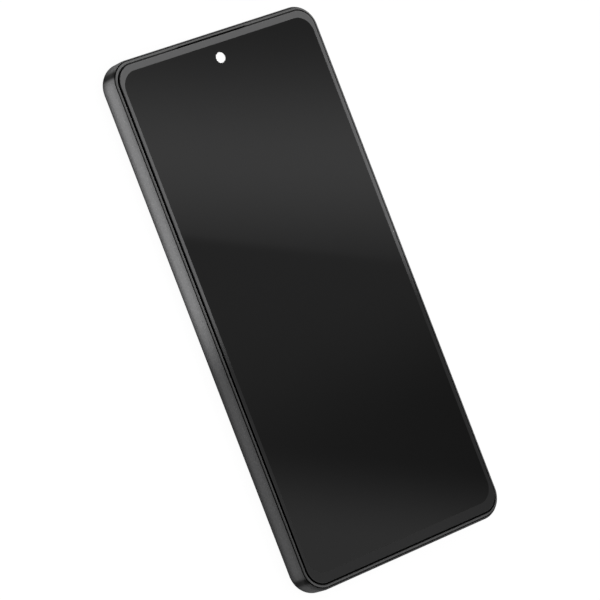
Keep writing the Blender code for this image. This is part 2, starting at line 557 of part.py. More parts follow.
def make_display_stack():
    """The panel, its backing and the adhesive ring, each under the glass."""
    camera = (0, CAMERA_Y)
    panel = rounded_rectangle(PANEL_HALF_WIDTH, PANEL_HALF_LENGTH, PANEL_CORNER, steps=CORNER_STEPS)
    plate("display_panel", "screen_glass", [panel, circle(PANEL_CAMERA_RADIUS, camera, ROUND_STEPS)],
          PANEL_LOW, PANEL_HIGH)
    holes = [circle(PLATE_CAMERA_RADIUS, camera, ROUND_STEPS), rectangle(*in_mm(*SENSOR_WINDOW))]
    plate("display_backing", "black_foam", [in_mm(*DISPLAY_BACKING), *holes], BACKING_LOW, BACKING_HIGH)
    inner_block("fingerprint_sensor")
    outer = flat(glass_section(-GLASS_GLUE_OUTER, 0))
    inner = flat(glass_section(-GLASS_GLUE_INNER, 0))
    plate("display_adhesive", "black_foam", [outer, inner], LEDGE_HIGH + SEAT, GLASS_LOW - SEAT)
    ribbon("display_flex", "flex_film", in_mm(*DISPLAY_FLEX), DISPLAY_FLEX_WIDTH)


def make_earpiece():
    """The grille strip in the slot above the glass, and the speaker capsule behind it."""
    half = EARPIECE_LENGTH / 2 - SEAT
    holes = []
    for slot in range(GRILLE_SLOTS):
        x = -half + 2 * half * (slot + 0.5) / GRILLE_SLOTS
        holes.append(rectangle((x - GRILLE_SLOT_HALF, GRILLE_LOW_Y + GRILLE_EDGE),
                               (x + GRILLE_SLOT_HALF, GRILLE_HIGH_Y - GRILLE_EDGE)))
    outline = rectangle((-half, GRILLE_LOW_Y), (half, GRILLE_HIGH_Y))
    plate("earpiece_grille", "black_plastic", [outline, *holes], GRILLE_LOW, GRILLE_HIGH)
    inner_block("earpiece_speaker")


# Back

def make_rear_cover():
    """The back panel, its edge following the back round, open where the camera island comes through."""
    angles = [math.pi / 2 * step / ARC_STEPS for step in range(ARC_STEPS)]
    round_z = BACK_Z + BACK_ROUND
    edge = [(BACK_ROUND * (1 - math.sin(a)), round_z - BACK_ROUND * math.cos(a)) for a in angles]
    edge = [(inset, z) for inset, z in edge if z < COVER_HIGH - SEAT]
    top_inset = BACK_ROUND - math.sqrt(BACK_ROUND ** 2 - (round_z - COVER_HIGH) ** 2)
    sections = [body_section(inset, z) for inset, z in edge + [(top_inset, COVER_HIGH)]]
    cover = loft("rear_cover", "cover_glass_matte", sections)
    opening = rounded_rectangle(ISLAND_HALF_WIDTH + SEAT, ISLAND_HALF_LENGTH + SEAT, ISLAND_CORNER + SEAT,
                                (ISLAND_X, ISLAND_Y), CORNER_STEPS)
    cut_out(cover, plate("island_opening", None, [opening], BACK_Z - MM, COVER_HIGH + MM))
    outer = flat(body_section(BAND_LIP + SEAT, 0))
    inner = flat(body_section(BAND_SHELF - SEAT, 0))
    low = COVER_HIGH + SEAT
    plate("rear_cover_adhesive", "black_foam", [outer, inner], low, low + GLUE_THICKNESS)


def make_camera_island():
    """The raised island: pushed out through the cover from inside, with a stepped seat for each window."""
    seat_z = COVER_HIGH + SEAT
    levels = ((ISLAND_FLANGE, ISLAND_FLANGE_HIGH), (ISLAND_FLANGE, seat_z), (0, seat_z), *ISLAND_EDGE)
    sections = [
        at_height(rounded_rectangle(ISLAND_HALF_WIDTH + grow, ISLAND_HALF_LENGTH + grow,
                                    ISLAND_CORNER + grow, steps=CORNER_STEPS), z)
        for grow, z in levels
    ]
    island = loft("camera_island", "satin_metal", sections, (ISLAND_X, ISLAND_Y, 0))
    names = ("main_lens_window", "ultrawide_lens_window", "macro_lens_window", "flash_window")
    for name, (x, y, radius) in zip(names, (MAIN_LENS, ULTRAWIDE_LENS, MACRO_LENS, FLASH)):
        wide, narrow = radius + SEAT, radius - WINDOW_SEAT
        step = WINDOW_HIGH + SEAT
        bore = [(0, BORE_HIGH), (narrow, BORE_HIGH), (narrow, step), (wide, step), (wide, -MM), (0, -MM)]
        cut_out(island, turned(f"{name}_seat", None, bore, (x, y, 0)))
        finish = "led_yellow" if name == "flash_window" else "clear_lens"
        window = [(0, WINDOW_HIGH), (radius, WINDOW_HIGH), (radius, WINDOW_LOW + WINDOW_CHAMFER),
                  (radius - WINDOW_CHAMFER, WINDOW_LOW), (0, WINDOW_LOW)]
        turned(name, finish, window, (x, y, 0))


def make_main_camera():
    """The main camera's housing, and the lens barrel that moves in its bore to focus."""
    x, y, radius = MAIN_LENS
    barrel_radius = radius - MAIN_BARREL_INSET
    outline = rounded_rectangle(MAIN_HOUSING_HALF, MAIN_HOUSING_HALF, MAIN_HOUSING_CORNER)
    housing = loft("main_camera_housing", "black_plastic",
                   [at_height(outline, z) for z in (MAIN_HOUSING_LOW, CAMERA_TOP)], (x, y, 0))
    bore = disc_profile(barrel_radius + MAIN_BORE_GAP, MAIN_HOUSING_LOW - MM, MAIN_BORE_END)
    cut_out(housing, turned("main_lens_bore", None, bore, (x, y, 0)))
    high = MAIN_BORE_END - MAIN_BARREL_ROOM - LENS_LOW
    neck = barrel_radius - BARREL_STEP
    barrel = [(0, high), (barrel_radius, high), (barrel_radius, BARREL_SHOULDER), (neck, BARREL_RING),
              (neck, 0), *LENS_DISH]
    turned("main_camera_lens", "black_plastic", barrel, (x, y, LENS_LOW))


def make_small_cameras():
    """The two smaller rear cameras and the flash, each a block with a round nose."""
    for name, (x, y, radius), half, low in SMALL_CAMERAS:
        outline = rounded_rectangle(half, half, SMALL_CAMERA_CORNER)
        camera = loft(name, "black_plastic", [at_height(outline, z) for z in (low, CAMERA_TOP)], (x, y, 0))
        nose_radius, root = radius - NOSE_INSET, low + NOSE_OVERLAP
        nose = [(0, root), (nose_radius, root), (nose_radius, LENS_LOW)]
        nose += [(nose_radius * share, LENS_LOW + depth) for share, depth in NOSE_DISH]
        join_on(camera, turned(f"{name}_nose", None, nose, (x, y, 0)))
    x, y, radius = FLASH
    outline = rounded_rectangle(FLASH_HALF, FLASH_HALF, FLASH_CORNER)
    flash = loft("flash_led", "led_yellow",
                 [at_height(outline, z) for z in (FLASH_LOW, BOARD_LOW - SEAT)], (x, y, 0))
    join_on(flash, turned("flash_dome", None, in_mm(*FLASH_DOME), (x, y, 0)))


def make_front_camera():
    outline = rounded_rectangle(*FRONT_CAMERA_HALF, FRONT_CAMERA_CORNER)
    camera = loft("front_camera", "black_plastic",
                  [at_height(outline, z) for z in (FRONT_CAMERA_LOW, CAMERA_TOP)], (0, CAMERA_Y, 0))
    join_on(camera, turned("front_camera_barrel", None, in_mm(*FRONT_BARREL), (0, CAMERA_Y, 0)))


# Keys

def make_key(name, y, length, plungers):
    """A side key: crowned cap, the flange that keeps it in, and a plunger over each switch."""
    flange_high = -WALL - KEY_FLANGE_GAP
    flange_low = flange_high - KEY_FLANGE
    levels = (
        (KEY_FLANGE_GROW, flange_low), (KEY_FLANGE_GROW, flange_high), (0, flange_high),
        (0, KEY_PROUD - KEY_CROWN), (-KEY_CROWN_EASE, KEY_PROUD - KEY_CROWN_DROP), (-KEY_CROWN, KEY_PROUD),
    )
    sections = [at_height(stadium(length + 2 * grow, KEY_HEIGHT + 2 * grow), z) for grow, z in levels]
    at = (BODY_WIDTH / 2, y, PORT_Z)
    key = loft(name, "satin_metal", sections, at, FACING_RIGHT)
    plunger = disc_profile(PLUNGER_RADIUS, flange_low - PLUNGER_REACH, flange_low + PLUNGER_REACH)
    for offset in plungers:
        tool = turned(f"{name}_plunger", None, plunger, (at[0], y + offset, PORT_Z), FACING_RIGHT,
                      SMALL_ROUND_STEPS)
        join_on(key, tool)


def make_keys():
    make_key("power_button", POWER_Y, POWER_LENGTH, (0,))
    make_key("volume_rocker", VOLUME_Y, VOLUME_LENGTH, (-SWITCH_SPREAD, SWITCH_SPREAD))
    inner_block("side_key_board")
    switches = (("power_switch", POWER_Y), ("volume_up_switch", VOLUME_Y + SWITCH_SPREAD),
                ("volume_down_switch", VOLUME_Y - SWITCH_SPREAD))
    for name, y in switches:
        at = (KEY_BOARD_FACE_X + SEAT, y, PORT_Z)
        turned(name, "shield_steel", in_mm(*SWITCH_DOME), at, FACING_RIGHT, SMALL_ROUND_STEPS)


# Card tray

def make_card_tray():
    """The tray: a face that closes the slot, and a flat carrier with two card seats."""
    edge = BODY_LENGTH / 2
    face = stadium(TRAY_FACE_WIDTH, TRAY_FACE_HEIGHT)
    chamfered = stadium(TRAY_FACE_WIDTH - 2 * TRAY_CHAMFER, TRAY_FACE_HEIGHT - 2 * TRAY_CHAMFER)
    sections = [at_height(face, -TRAY_FACE_DEPTH), at_height(face, -TRAY_CHAMFER), at_height(chamfered, 0)]
    at = (TRAY_X, edge, PORT_Z)
    tray = loft("sim_tray", "satin_metal", sections, at, FACING_TOP)
    root_y = edge - TRAY_FACE_DEPTH
    half, low_y, high_y = TRAY_WIDTH / 2, root_y - TRAY_DEPTH, root_y + TRAY_ROOT
    seats = []
    seat_length = (TRAY_DEPTH - 3 * TRAY_BAR) / 2
    for row in range(2):
        seat_low = low_y + TRAY_BAR + row * (seat_length + TRAY_BAR)
        seats.append(rectangle((TRAY_X - half + TRAY_SEAT_SIDE, seat_low),
                               (TRAY_X + half - TRAY_SEAT_SIDE, seat_low + seat_length)))
    outline = rectangle((TRAY_X - half, low_y), (TRAY_X + half, high_y))
    thickness = TRAY_THICKNESS / 2
    join_on(tray, plate("tray_carrier", None, [outline, *seats], PORT_Z - thickness, PORT_Z + thickness))
    pin_hole = disc_profile(PIN_HOLE_RADIUS, -PIN_HOLE_DEPTH, MM)
    pin_at = (TRAY_X + PIN_HOLE_OFFSET, edge, PORT_Z)
    cut_out(tray, turned("eject_pin_hole", None, pin_hole, pin_at, FACING_TOP, SMALL_ROUND_STEPS))


def make_card_reader():
    """The reader: a flat metal box, open towards the top edge, that the tray slides into."""
    edge = BODY_LENGTH / 2
    mouth_y = edge - WALL - READER_SETBACK
    inner_depth = mouth_y - (edge - TRAY_FACE_DEPTH - TRAY_DEPTH) + READER_SPARE_DEPTH
    half_width = TRAY_WIDTH / 2 + READER_CLEARANCE
    half_height = TRAY_THICKNESS / 2 + READER_HEADROOM
    inner = rounded_rectangle(half_width, half_height, READER_INNER_CORNER)
    outer = rounded_rectangle(half_width + READER_WALL, half_height + READER_ROOF, READER_OUTER_CORNER)
    sections = [at_height(outer, -inner_depth - READER_WALL), at_height(outer, 0), at_height(inner, 0),
                at_height(inner, -inner_depth)]
    loft("sim_reader", "shield_steel", sections, (TRAY_X, mouth_y, PORT_Z), FACING_TOP)


# Boards and power

def make_main_board():
    holes = [circle(SCREW_HOLE_RADIUS, at) for at in in_mm(*UPPER_SCREWS)]
    plate("main_board", "circuit_board", [in_mm(*MAIN_BOARD), *holes], BOARD_LOW, BOARD_HIGH)
    for name in ("processor_shield", "radio_shield", "top_microphone"):
        inner_block(name)


def make_battery():
    """The pouch cell with its protection strip along the top end."""
    strip = rectangle(*in_mm(*PROTECTION_STRIP))
    join_on(inner_block("battery"), plate("protection_strip", None, [strip], STRIP_LOW, STRIP_HIGH))


def make_sub_board():
    holes = [circle(SCREW_HOLE_RADIUS, at) for at in in_mm(*LOWER_SCREWS)]
    plate("sub_board", "circuit_board", [in_mm(*SUB_BOARD), *holes], BOARD_LOW, BOARD_HIGH)
    for name in ("vibration_motor", "bottom_microphone"):
        inner_block(name)


def make_usb_socket():
    """The socket: a drawn shell with a closed back end, and the contact tongue inside it."""
    mouth_y = -BODY_LENGTH / 2 + WALL + USB_SETBACK
    outer = stadium(USB_MOUTH_WIDTH + 2 * USB_WALL, USB_MOUTH_HEIGHT + 2 * USB_WALL)
    inner = stadium(USB_MOUTH_WIDTH, USB_MOUTH_HEIGHT)
    floor = -USB_DEPTH + USB_BACK
    sections = [at_height(outer, -USB_DEPTH), at_height(outer, 0), at_height(inner, 0),
                at_height(inner, floor)]
    at = (0, mouth_y, PORT_Z)
    loft("usb_shell", "shield_steel", sections, at, FACING_BOTTOM)
    tongue_levels = ((0, floor + SEAT), (0, -TONGUE_SETBACK - TONGUE_NOSE), (-TONGUE_TAPER, -TONGUE_SETBACK))
    tongue = [at_height(rounded_rectangle(TONGUE_HALF_WIDTH + grow, TONGUE_HALF_HEIGHT + grow / 2,
                                          TONGUE_CORNER), z) for grow, z in tongue_levels]
    loft("usb_tongue", "black_plastic", tongue, at, FACING_BOTTOM)


def make_loudspeaker():
    """The sound box, shaped to the corner of the band, with its diaphragm window and the mesh."""
    box = plate("loudspeaker", "black_plastic", [in_mm(*LOUDSPEAKER)], LOUDSPEAKER_LOW, LOUDSPEAKER_HIGH)
    window = rounded_rectangle(*DIAPHRAGM_HALF, DIAPHRAGM_CORNER, DIAPHRAGM_CENTRE)
    window_low, window_high = LOUDSPEAKER_LOW - MM, LOUDSPEAKER_LOW + DIAPHRAGM_DEPTH
    cut_out(box, plate("diaphragm_window", None, [window], window_low, window_high))
    inner_wall = -BODY_LENGTH / 2 + WALL
    low = (SPEAKER_X - MESH_HALF_WIDTH, inner_wall + MESH_GAP, PORT_Z - MESH_HALF_HEIGHT)
    high = (SPEAKER_X + MESH_HALF_WIDTH, inner_wall + MESH_BACK, PORT_Z + MESH_HALF_HEIGHT)
    rounded_block("loudspeaker_mesh", "black_foam", low, high, MESH_EDGE, MESH_CORNER)


def make_cables():
    """The flat cable over the battery and the thin aerial cable along its left side."""
    ribbon("main_flex", "flex_film", in_mm(*MAIN_FLEX), MAIN_FLEX_WIDTH)
    curve = bpy.data.curves.new("antenna_cable", "CURVE")
    curve.dimensions = "3D"
    curve.bevel_depth = AERIAL_RADIUS
    curve.bevel_resolution = AERIAL_STEPS
    curve.use_fill_caps = True
    spline = curve.splines.new("POLY")
    spline.points.add(len(AERIAL_CABLE) - 1)
    for point, place in zip(spline.points, AERIAL_CABLE):
        point.co = (*(value * MM for value in place), 1)
    meshed("antenna_cable", "black_plastic", curve, (0, 0, 0))


# Brackets and screws

def make_bracket(name, outline, screws):
    """A moulded cover over a board, standing on a pillar at each screw."""
    positions = in_mm(*screws)
    bracket = plate(name, "black_plastic", [outline], BRACKET_LOW, BRACKET_HIGH)
    for number, at in enumerate(positions):
        pillar = circle(PILLAR_RADIUS, at)
        join_on(bracket, plate(f"{name}_pillar_{number}", None, [pillar], BRACKET_LOW + SEAT,
                               BOARD_LOW - SEAT))
        drill = circle(SCREW_HOLE_RADIUS, at)
        cut_out(bracket, plate(f"{name}_hole_{number}", None, [drill], BRACKET_LOW - MM, BOARD_LOW + MM))


def make_brackets():
    make_bracket("upper_bracket", in_mm(*UPPER_BRACKET), UPPER_SCREWS)
    make_bracket("lower_bracket", in_mm(*LOWER_BRACKET), LOWER_SCREWS)
    outer = rounded_rectangle(COIL_HALF, COIL_HALF, COIL_CORNER, COIL_CENTRE)
    inner = rounded_rectangle(COIL_INNER_HALF, COIL_INNER_HALF, COIL_INNER_CORNER, COIL_CENTRE)
    low = COVER_HIGH + SEAT
    plate("nfc_coil", "flex_film", [outer, inner], low, low + GLUE_THICKNESS)


def make_screws():
    head_high = BRACKET_LOW - SEAT
    tip = PLATE_HIGH - SCREW_TIP_DROP
    point_in, point_length = SCREW_POINT
    profile = [(0, tip), (SCREW_SHANK_RADIUS - point_in, tip), (SCREW_SHANK_RADIUS, tip - point_length),
               (SCREW_SHANK_RADIUS, head_high), (SCREW_HEAD_RADIUS, head_high),
               (SCREW_HEAD_RADIUS, SCREW_HEAD_LOW + SCREW_EDGE),
               (SCREW_HEAD_RADIUS - SCREW_EDGE, SCREW_HEAD_LOW),
               (SCREW_SOCKET_RADIUS, SCREW_HEAD_LOW), (0, SCREW_HEAD_LOW + SCREW_SOCKET_DEPTH)]
    for group, screws in (("upper", UPPER_SCREWS), ("lower", LOWER_SCREWS)):
        for number, (x, y) in enumerate(in_mm(*screws), start=1):
            turned(f"{group}_screw_{number}", "shield_steel", profile, (x, y, 0), steps=SMALL_ROUND_STEPS)


make_side_band()
make_front_rim()
make_mid_plate()
make_cover_glass()
make_display_stack()
make_earpiece()
make_rear_cover()
make_camera_island()
make_main_camera()
make_small_cameras()
make_front_camera()
make_keys()
make_card_tray()
make_card_reader()
make_main_board()
make_battery()
make_sub_board()
make_usb_socket()
make_loudspeaker()
make_cables()
make_brackets()
make_screws()
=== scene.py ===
"""Looks of the smartphone: fine outer pieces, finishes, camera and studio around its fixed CAD frame.

Metres. +X is the phone's right, +Y its top edge, +Z points out of the screen, and it lies on its back.
"""

import json
import math
from contextlib import contextmanager

import bmesh
import bpy
from mathutils import Matrix, Vector


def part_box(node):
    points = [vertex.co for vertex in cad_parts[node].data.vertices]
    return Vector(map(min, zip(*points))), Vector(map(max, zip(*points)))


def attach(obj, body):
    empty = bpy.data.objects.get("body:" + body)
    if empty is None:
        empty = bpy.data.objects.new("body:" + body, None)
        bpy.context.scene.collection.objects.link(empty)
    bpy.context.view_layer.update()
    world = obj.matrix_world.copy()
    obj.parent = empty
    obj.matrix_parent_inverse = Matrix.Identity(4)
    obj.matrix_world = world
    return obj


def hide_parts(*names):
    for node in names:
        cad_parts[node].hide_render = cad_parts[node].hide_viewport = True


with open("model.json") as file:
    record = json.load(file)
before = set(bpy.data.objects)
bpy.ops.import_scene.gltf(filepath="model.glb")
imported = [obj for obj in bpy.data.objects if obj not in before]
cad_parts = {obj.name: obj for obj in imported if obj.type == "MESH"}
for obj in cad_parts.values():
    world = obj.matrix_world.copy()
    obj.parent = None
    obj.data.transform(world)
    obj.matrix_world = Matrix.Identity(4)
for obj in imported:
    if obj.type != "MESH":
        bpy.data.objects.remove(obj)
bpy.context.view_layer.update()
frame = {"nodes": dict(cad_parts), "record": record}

bl_info = {
    "name": "Smartphone looks",
    "version": (1, 0, 0),
    "blender": (4, 5, 0),
    "location": "3D View > Sidebar > Phone",
    "description": "Models the smartphone's outer pieces and finishes over its CAD frame",
    "category": "Object",
}

MM = 0.001
TINY = 0.001 * MM
# Angles: the least of an edge that is eased, and the most of one that is shaded smooth
SHARP, SMOOTH = math.radians(40), math.radians(32)
PHONE = "phone"
LEFT_LOW, RIGHT_HIGH = BAND_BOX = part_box("side_band")
GLASS_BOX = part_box("cover_glass")
COVER_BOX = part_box("rear_cover")
ISLAND_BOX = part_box("camera_island")
# The glass lies a little towards the top edge, and the rim reaches further there to match
RIM_REACH = GLASS_BOX[0].y + GLASS_BOX[1].y
SLOTS = {row["node"]: row["material_slot"] for row in frame["record"]["subparts"]}


def middle_of(node):
    low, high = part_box(node)
    return (low + high) / 2


# Lens windows: centre in plan and radius
LENSES = {node: (*middle_of(node).xy, (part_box(node)[1].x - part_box(node)[0].x) / 2)
          for node in ("main_lens_window", "ultrawide_lens_window", "macro_lens_window", "flash_window")}

# Inside of the band: distances in from the side wall, and heights
LIP, WALL, LEDGE, SHELF = 1.3 * MM, 1.4 * MM, 2.3 * MM, 2.9 * MM
SHELF_TOP, LEDGE_FOOT, LEDGE_TOP, RIM_FOOT = 3.0 * MM, 6.3 * MM, 6.9 * MM, 7.5 * MM
GLUE_ROOM = 0.35 * MM

# Room round the keys and the tray, room at the camera island and its windows, and what a round end is
# short of a half circle
SLACK, ISLAND_ROOM, NEARLY_ROUND = 0.15 * MM, 0.1 * MM, 0.02 * MM

# Sound holes in the ends and the earpiece slot over the glass: places and sizes
SPEAKER_HOLES, SPEAKER_X, SPEAKER_PITCH, SPEAKER_RADIUS = 6, 17.5 * MM, 2.2 * MM, 0.65 * MM
TOP_MIC_X, LOW_MIC_X, MIC_RADIUS = 24 * MM, -11 * MM, 0.5 * MM
EAR_HALF, EAR_BELOW, EAR_ABOVE, EAR_CORNER = 12.6 * MM, 1.33 * MM, 0.52 * MM, 0.2 * MM

# Painted shade in patches on the band near its corners: where the patch at the top starts, is full, fades
# and ends along Y, and how much nearer the middle the one at the bottom is
CORNER_SHADE = (75.5 * MM, 76.7 * MM, 77.4 * MM, 78.6 * MM)
CORNER_SHADE_SHIFT = 1.35 * MM


def length(name, description, default):
    return bpy.props.FloatProperty(name=name, description=description, default=default, unit="LENGTH",
                                   precision=5)


def colour(name, description, default):
    return bpy.props.FloatVectorProperty(name=name, description=description, default=default,
                                         subtype="COLOR", min=0, max=1)


def number(name, description, default):
    return bpy.props.FloatProperty(name=name, description=description, default=default, min=0)


class PhoneSizes(bpy.types.PropertyGroup):
    """Sizes of the outer pieces."""

    corner: length("Body corner", "Radius of the body's corners in plan", 7.2 * MM)
    front_round: length("Front round", "Radius between the sides and the screen", 2.0 * MM)
    back_round: length("Back round", "Radius between the sides and the back", 2.5 * MM)
    crown: length("Crown", "Height of the front round's highest point", 9.2 * MM)
    seam_inset: length("Seam inset", "How far in the band meets the rim", 0.56 * MM)
    rim_inset: length("Rim inset", "How far in the rim starts", 0.84 * MM)
    glass_corner: length("Glass corner", "Radius of the glass's corners in plan", 5.5 * MM)
    glass_gap: length("Glass gap", "Width of the gap round the glass", 0.45 * MM)
    glass_ease: length("Glass edge", "Radius of the glass's front edge", 0.3 * MM)
    screen_corner: length("Screen corner", "Radius of the black area's corners", 5.2 * MM)
    border_side: length("Side border", "Width of the grey print beside the screen", 1.19 * MM)
    border_top: length("Top border", "Width of the grey print above the screen", 2.0 * MM)
    border_foot: length("Bottom border", "Width of the grey print below the screen", 2.9 * MM)
    camera_radius: length("Camera radius", "Radius of the front camera's window", 1.6 * MM)
    key_flange: length("Key flange", "How far a key's flange stands out round its cap", 0.35 * MM)
    key_crown: length("Key crown", "Radius of a key's outer edge", 0.25 * MM)
    island_flange: length("Island flange", "How far the camera island's flange stands out inside", 0.9 * MM)
    island_corner: length("Island corner", "Radius of the camera island's corners", 6.0 * MM)
    island_ease: length("Island edge", "Radius of the camera island's outer edge", 0.4 * MM)
    port_z: length("Port height", "Height of the keys, tray and socket above the floor", 4.7 * MM)


class PhoneColours(bpy.types.PropertyGroup):
    """Colours of the finishes."""

    band: colour("Band", "Satin grey of the side band, keys and tray", (0.182, 0.182, 0.184))
    border: colour("Border", "Grey print round the screen", (0.104, 0.104, 0.105))
    screen: colour("Screen", "Switched-off screen", (0.0012, 0.0012, 0.0013))
    rim: colour("Rim", "Plastic rim round the glass", (0.048, 0.048, 0.048))
    back: colour("Back", "Matte back panel", (0.045, 0.045, 0.048))


class PhoneStudio(bpy.types.PropertyGroup):
    """Strengths of the studio's light."""

    ambient: number("Ambient", "Light from all round", 0.08)
    top: number("Top light", "Light on the screen's upper half, 1 is plain", 0.9)
    side: number("Side light", "Light on the left side's upper half, 1 is plain", 1.06)
    scrim: number("Scrim", "Share of the side lamps' light that reaches the lower half", 0.3)
    right: number("Right light", "Light on the right side's upper half", 0.9)
    far: number("Far light", "Light on the top end", 0.42)
    near: number("Near light", "Light on the bottom end", 0.09)
    under: number("Under light", "Light on the back, which the floor lets through", 0.8)
    floor: number("Floor", "How white the floor shows in the open", 1.0)
    card: number("Card", "Brightness of the card that the screen mirrors", 1.0)
    light_stops: length("Light stops", "Where along the phone the full light ends", -2.5 * MM)


# Modelling

def start_clean():
    """Deselect everything, so that the next operator acts on its own piece alone."""
    if bpy.context.mode != "OBJECT":
        bpy.ops.object.mode_set(mode="OBJECT")
    bpy.ops.object.select_all(action="DESELECT")


def take(piece):
    """Make one piece the selected and active one."""
    start_clean()
    piece.select_set(True)
    bpy.context.view_layer.objects.active = piece


@contextmanager
def editing(piece):
    """Edit mode on one piece, with nothing selected at first."""
    take(piece)
    bpy.ops.object.mode_set(mode="EDIT")
    bpy.ops.mesh.select_all(action="DESELECT")
    yield
    bpy.ops.object.mode_set(mode="OBJECT")


def pick(piece, kind, test):
    """Select the edges or faces of the piece in edit mode that pass a test."""
    bpy.ops.mesh.select_mode(type=kind)
    shape = bmesh.from_edit_mesh(piece.data)
    for part in shape.edges if kind == "EDGE" else shape.faces:
        part.select_set(test(part))
    shape.select_flush_mode()
    bmesh.update_edit_mesh(piece.data)


def bevel(width, steps):
    bpy.ops.mesh.bevel(offset_type="OFFSET", offset=width, segments=steps, profile=0.5, affect="EDGES",
                       clamp_overlap=False)


def named(name):
    """Name the piece just added, and settle its place in its mesh."""
    piece = bpy.context.object
    piece.name = piece.data.name = name
    bpy.ops.object.transform_apply(location=True, rotation=True, scale=True)
    return piece


def block(name, low, high):
    """A box between two corners."""
    low, high = Vector(low), Vector(high)
    start_clean()
    bpy.ops.mesh.primitive_cube_add(size=1, location=(low + high) / 2, scale=high - low)
    return named(name)


def on_level(along, level):
    """A test for places at one level along an axis."""
    return lambda place: abs(place[along] - level) < TINY


def trim(piece, level, cleared):
    """Cut a piece flat at a height, and clear what is "inner", below it, or "outer", above it."""
    with editing(piece):
        bpy.ops.mesh.select_all(action="SELECT")
        bpy.ops.mesh.bisect(plane_co=(0, 0, level), plane_no=(0, 0, 1), use_fill=True,
                            **{"clear_" + cleared: True})


def rounded(name, low, high, corner, along=2, ease=(0, 0), steps=(16, 6)):
    """A box with its four edges along one axis rounded, and its two end outlines eased."""
    piece = block(name, low, high)
    across = [axis for axis in range(3) if axis != along]

    def lies_along(edge):
        start, end = (vertex.co for vertex in edge.verts)
        return all(abs(start[axis] - end[axis]) < TINY for axis in across)

    with editing(piece):
        pick(piece, "EDGE", lies_along)
        bevel(corner, steps[0])
        for level, width in zip((low[along], high[along]), ease):
            if width:
                at_end = on_level(along, level)
                pick(piece, "EDGE", lambda edge: all(at_end(vertex.co) for vertex in edge.verts))
                bevel(width, steps[1])
    return piece


def pill(name, low, high, along, **more):
    """A box along a level axis with half-round ends as high as it is."""
    return rounded(name, low, high, (high[2] - low[2]) / 2 - NEARLY_ROUND, along, **more)


def turned(name, centre, profile, steps=64):
    """A turned piece along Z: a disc drawn on through (radius, height) rings by its end face."""
    (radius, start), (next_radius, height), *rest = profile
    start_clean()
    bpy.ops.mesh.primitive_cylinder_add(vertices=steps, radius=radius, depth=abs(height - start),
                                        location=(*centre, (start + height) / 2))
    piece = named(name)
    way = math.copysign(1, height - start)
    with editing(piece):
        pick(piece, "FACE", lambda face: face.normal.z * way > 0.9)
        scale = next_radius / radius
        bpy.ops.transform.resize(value=(scale, scale, 1), center_override=(*centre, height))
        for radius, level in rest:
            bpy.ops.mesh.extrude_region_move(TRANSFORM_OT_translate={"value": (0, 0, level - height)})
            scale, height, next_radius = radius / next_radius, level, radius
            bpy.ops.transform.resize(value=(scale, scale, 1), center_override=(*centre, height))
    return piece


def drill(start, end, radius, steps=32):
    """A round tool between two points that lie on one axis."""
    start, end = Vector(start), Vector(end)
    way = end - start
    start_clean()
    bpy.ops.mesh.primitive_cylinder_add(vertices=steps, radius=radius, depth=way.length,
                                        location=(start + end) / 2,
                                        rotation=way.to_track_quat("Z", "Y").to_euler())
    return named("drill")


def apply(piece, modifier):
    take(piece)
    bpy.ops.object.modifier_apply(modifier=modifier.name)


def combine(piece, tool, operation="DIFFERENCE"):
    """Cut a tool out of the piece, join it on or keep what both share; the tool goes."""
    change = piece.modifiers.new("combine", "BOOLEAN")
    change.object, change.operation, change.solver = tool, operation, "EXACT"
    apply(piece, change)
    bpy.data.objects.remove(tool, do_unlink=True)


def ease_mouths(piece, on_mouth, width):
    """A fine bevel on the sharp edges of openings, picked by a test of their place."""
    def sharp_mouth(edge):
        return (len(edge.link_faces) == 2 and edge.calc_face_angle() > SHARP
                and all(on_mouth(vertex.co) for vertex in edge.verts))

    with editing(piece):
        pick(piece, "EDGE", sharp_mouth)
        bevel(width, 2)


def dress(piece, finish, body, *nodes, slot=None):
    """Smooth a piece, give it its finish, and let it stand for CAD nodes on their body."""
    take(piece)
    bpy.ops.object.shade_smooth_by_angle(angle=SMOOTH)
    weigh = piece.modifiers.new("weigh", "WEIGHTED_NORMAL")
    weigh.keep_sharp = True
    weigh.weight = 100
    apply(piece, weigh)
    piece.data.materials.clear()
    piece.data.materials.append(finished(finish))
    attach(piece, body)
    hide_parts(*nodes)
    slot or finish


def slab(name, box, corner, inset, low, high, reach=0, **more):
    """A slab with a box's outline, drawn in by an inset, that may reach further at the top edge."""
    left, right = box
    return rounded(name, (left.x + inset, left.y + inset, low),
                   (right.x - inset, right.y - inset + reach, high), corner - inset, **more)


def body_slab(name, sizes, inset, low, high, **more):
    return slab(name, BAND_BOX, sizes.corner, inset, low, high, steps=(24, 10), **more)


def glass_slab(name, sizes, inset, low, high, **more):
    return slab(name, GLASS_BOX, sizes.glass_corner, inset, low, high, steps=(24, 6), **more)


def island_slab(name, sizes, inset, low, high, steps=(20, 1), **more):
    corner = sizes.island_corner + sizes.island_flange
    return slab(name, ISLAND_BOX, corner, inset, low, high, steps=steps, **more)


# Finishes

def arithmetic(operation, swapped=False):
    def method(self, other):
        pair = (other, self) if swapped else (self, other)
        return self.node("Math", {"operation": operation}, dict(enumerate(pair)))
    return method


